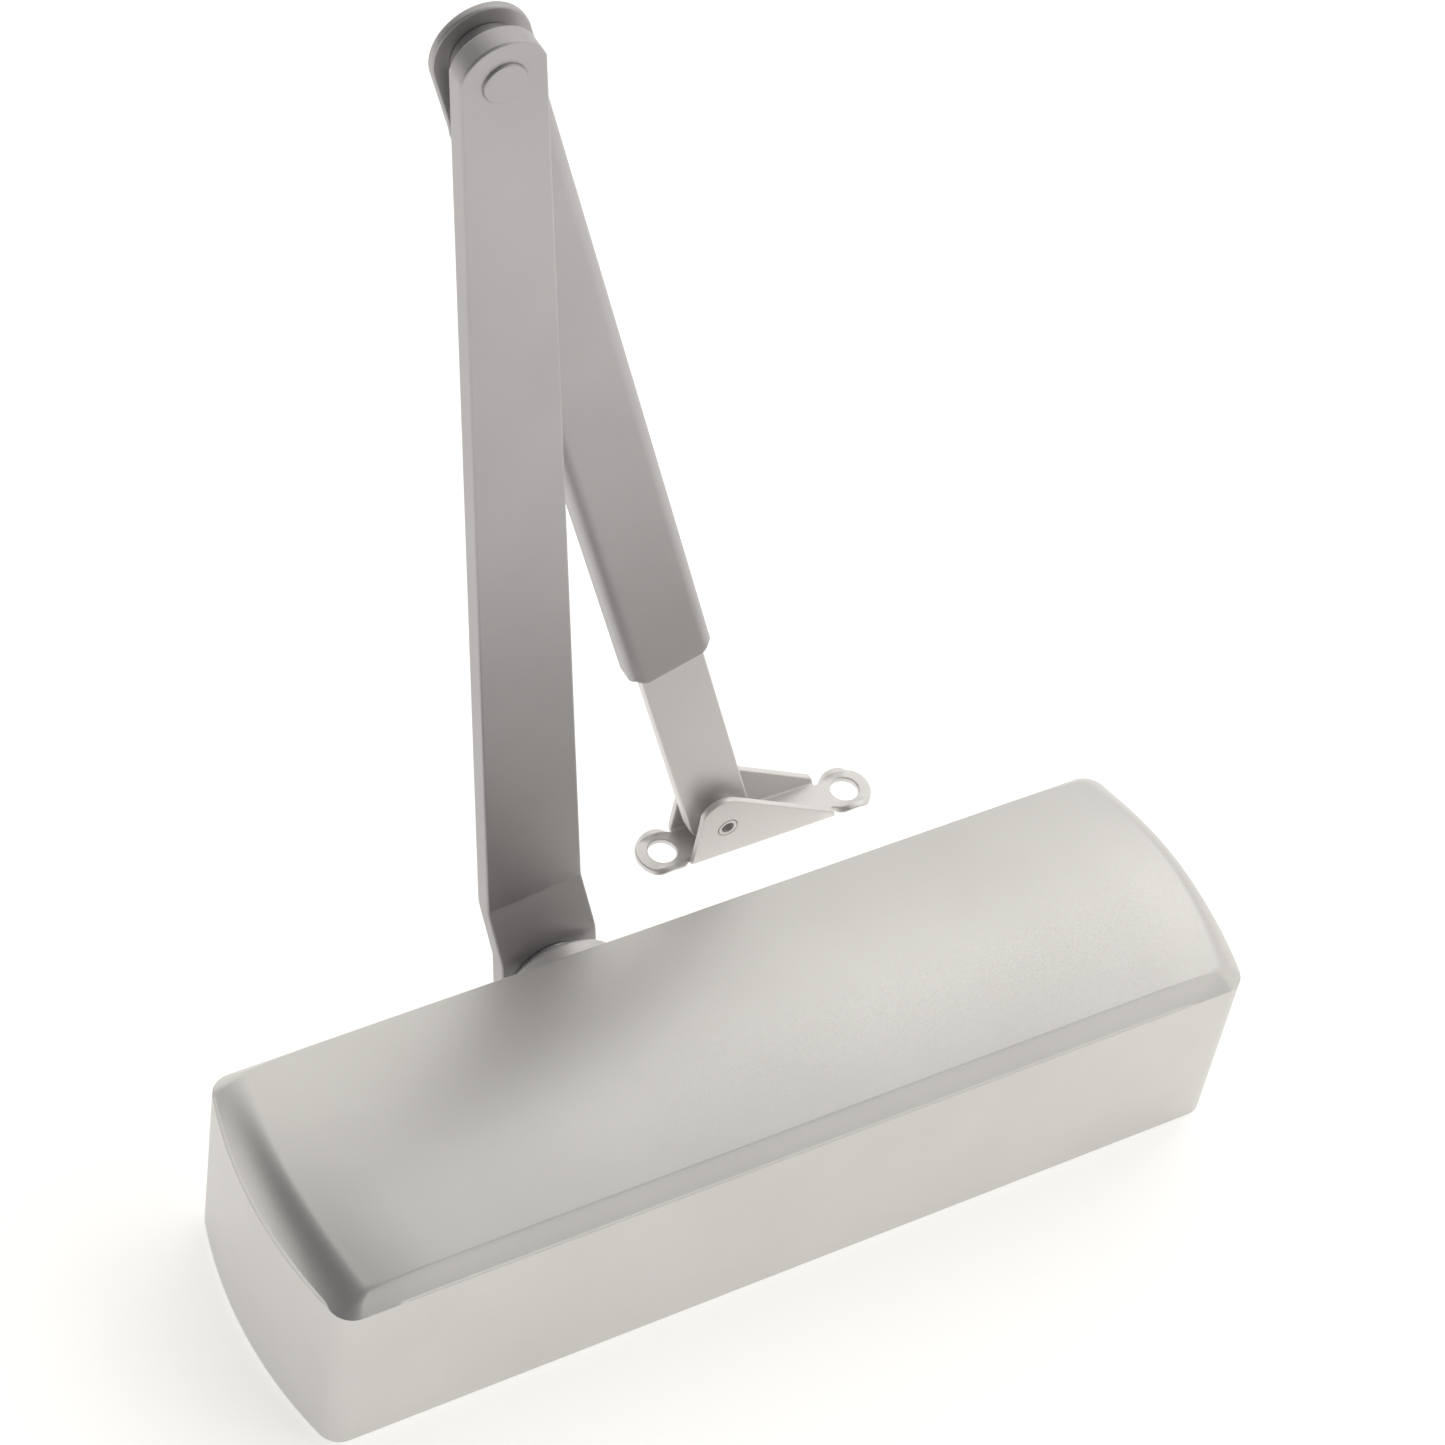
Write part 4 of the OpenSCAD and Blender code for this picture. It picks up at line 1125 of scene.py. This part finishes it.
EDGE_SIZES = {"housing": 0.9, "spring_seat": 0.4, "cover_clips": 0.25, "piston": 0.3, "spindle": 0.15}
PLAIN_EDGE = 0.2
EDGE_SEGMENTS = 2
EDGE_ANGLE = math.radians(34)
FLAT_ANGLE = math.radians(0.6)
WELD_DISTANCE = 2e-6


def finish_node(node):
    """Gives a CAD node its finish, rounded edges and smooth shading."""
    piece = nodes[node]
    piece.data.materials.clear()
    piece.data.materials.append(finishes[slot_of[node]])
    for polygon in piece.data.polygons:
        polygon.use_smooth = True
    weld = piece.modifiers.new("weld", "WELD")
    weld.merge_threshold = WELD_DISTANCE
    flat = piece.modifiers.new("flats", "DECIMATE")
    flat.decimate_type = "DISSOLVE"
    flat.angle_limit = FLAT_ANGLE
    edges = piece.modifiers.new("edges", "BEVEL")
    edges.width = EDGE_SIZES.get(node, PLAIN_EDGE) * MM
    edges.segments = EDGE_SEGMENTS
    edges.limit_method = "ANGLE"
    edges.angle_limit = EDGE_ANGLE
    edges.harden_normals = False
    edges.miter_outer = "MITER_ARC"
    weighted = piece.modifiers.new("even_normals", "WEIGHTED_NORMAL")
    weighted.keep_sharp = False


# ---- camera, light and floor ----

CAMERA_AT = Vector((-349.2, -445.8, 774.3)) * MM
CAMERA_AIM = Vector((7.29, 36.68, 103.42)) * MM
CAMERA_ROLL = 10.6
LENS = 108.75
SENSOR_WIDTH = 36
CLIP = (0.02, 50)

FLOOR_SIZE = 12
FLOOR_DROP = 0.0002
FLOOR_COLOUR = (0.93, 0.925, 0.915, 1)
FLOOR_ROUGHNESS = 0.9
FLOOR_SPECULAR = 0.1
GLOW_COLOUR = (1, 0.985, 0.96, 1)
FLOOR_GLOW = 0.55
KEY_PLACE = Vector((1.2, 0.5, 1.3))
KEY_AIM = Vector((0.02, 0, 0.08))
KEY_SIZE = 1.2
KEY_POWER = 2
TENT_OPENING = (-0.85, -0.40, 0.34)
# Brightness of the tent against how far a direction points towards the opening (cosine)
TENT_TONES = ((-1.0, 0.75), (-0.55, 0.85), (-0.3, 1.0), (0.0, 1.0), (0.09, 0.80), (0.15, 0.46),
              (0.22, 0.32), (0.57, 0.18), (0.79, 0.12))
TENT_POWER = 1.14
# The tent's light is a little warm: less green, and less blue where it is bright
TENT_GREEN = 0.985
TENT_BLUE_LOSS = 0.05


def build_camera():
    """The camera, which looks down on the closer from its left end."""
    data = bpy.data.cameras.new("camera")
    data.lens = LENS
    data.sensor_width = SENSOR_WIDTH
    data.clip_start, data.clip_end = CLIP
    camera = bpy.data.objects.new("camera", data)
    bpy.context.scene.collection.objects.link(camera)
    aim = CAMERA_AIM - CAMERA_AT
    camera.location = CAMERA_AT
    camera.rotation_mode = "QUATERNION"
    roll = Quaternion((0, 0, 1), math.radians(CAMERA_ROLL))
    camera.rotation_quaternion = aim.to_track_quat("-Z", "Y") @ roll
    bpy.context.scene.camera = camera


def build_floor():
    """A pale floor that glows a little, like a light table, and lights the walls that face it."""
    level = cad_box[0].z - FLOOR_DROP
    bpy.ops.mesh.primitive_plane_add(size=FLOOR_SIZE, location=(0, 0, level))
    floor = bpy.context.object
    floor.name = "floor"
    material = bpy.data.materials.new("floor")
    material.use_nodes = True
    shader = material.node_tree.nodes["Principled BSDF"]
    shader.inputs["Base Color"].default_value = FLOOR_COLOUR
    shader.inputs["Roughness"].default_value = FLOOR_ROUGHNESS
    shader.inputs["Specular IOR Level"].default_value = FLOOR_SPECULAR
    shader.inputs["Emission Color"].default_value = GLOW_COLOUR
    shader.inputs["Emission Strength"].default_value = FLOOR_GLOW
    floor.data.materials.append(material)


def build_key_light():
    """A broad soft light from above, behind the closer."""
    data = bpy.data.lights.new("key", "AREA")
    data.shape = "DISK"
    data.size = KEY_SIZE
    data.energy = KEY_POWER
    light = bpy.data.objects.new("key", data)
    light.location = KEY_PLACE
    light.rotation_mode = "QUATERNION"
    light.rotation_quaternion = (KEY_AIM - KEY_PLACE).to_track_quat("-Z", "Y")
    bpy.context.scene.collection.objects.link(light)


def build_world():
    """A white tent that is darker round the opening on the left, where the camera stands."""
    world = bpy.data.worlds.new("studio")
    bpy.context.scene.world = world
    world.use_nodes = True
    tree = world.node_tree
    background = tree.nodes["Background"]
    where = tree.nodes.new("ShaderNodeTexCoord")
    facing = tree.nodes.new("ShaderNodeVectorMath")
    facing.operation = "DOT_PRODUCT"
    facing.inputs[1].default_value = TENT_OPENING
    node_link(tree, where, "Generated", facing, 0)
    spread = tree.nodes.new("ShaderNodeMapRange")
    spread.inputs["From Min"].default_value = -1
    tree.links.new(facing.outputs["Value"], spread.inputs["Value"])
    tone = tree.nodes.new("ShaderNodeValToRGB")
    for _ in TENT_TONES[2:]:
        tone.color_ramp.elements.new(0.5)
    for element, (facing_share, level) in zip(tone.color_ramp.elements, TENT_TONES):
        element.position = (facing_share + 1) / 2
        blue = level * (1 - TENT_BLUE_LOSS * level)
        element.color = (level, level * TENT_GREEN, blue, 1)
    node_link(tree, spread, "Result", tone, "Fac")
    node_link(tree, tone, "Color", background, "Color")
    background.inputs["Strength"].default_value = TENT_POWER


def build_stage():
    """The floor, the tent and the key light, shown without a film look."""
    build_floor()
    build_world()
    build_key_light()
    bpy.context.scene.view_settings.view_transform = "Standard"


build_cover()
build_main_arm()
build_sleeve()
build_slide_bar()
build_bracket()
build_turned_parts()
build_springs()
for kept in sorted(nodes):
    if not nodes[kept].hide_render:
        finish_node(kept)
build_camera()
build_stage()
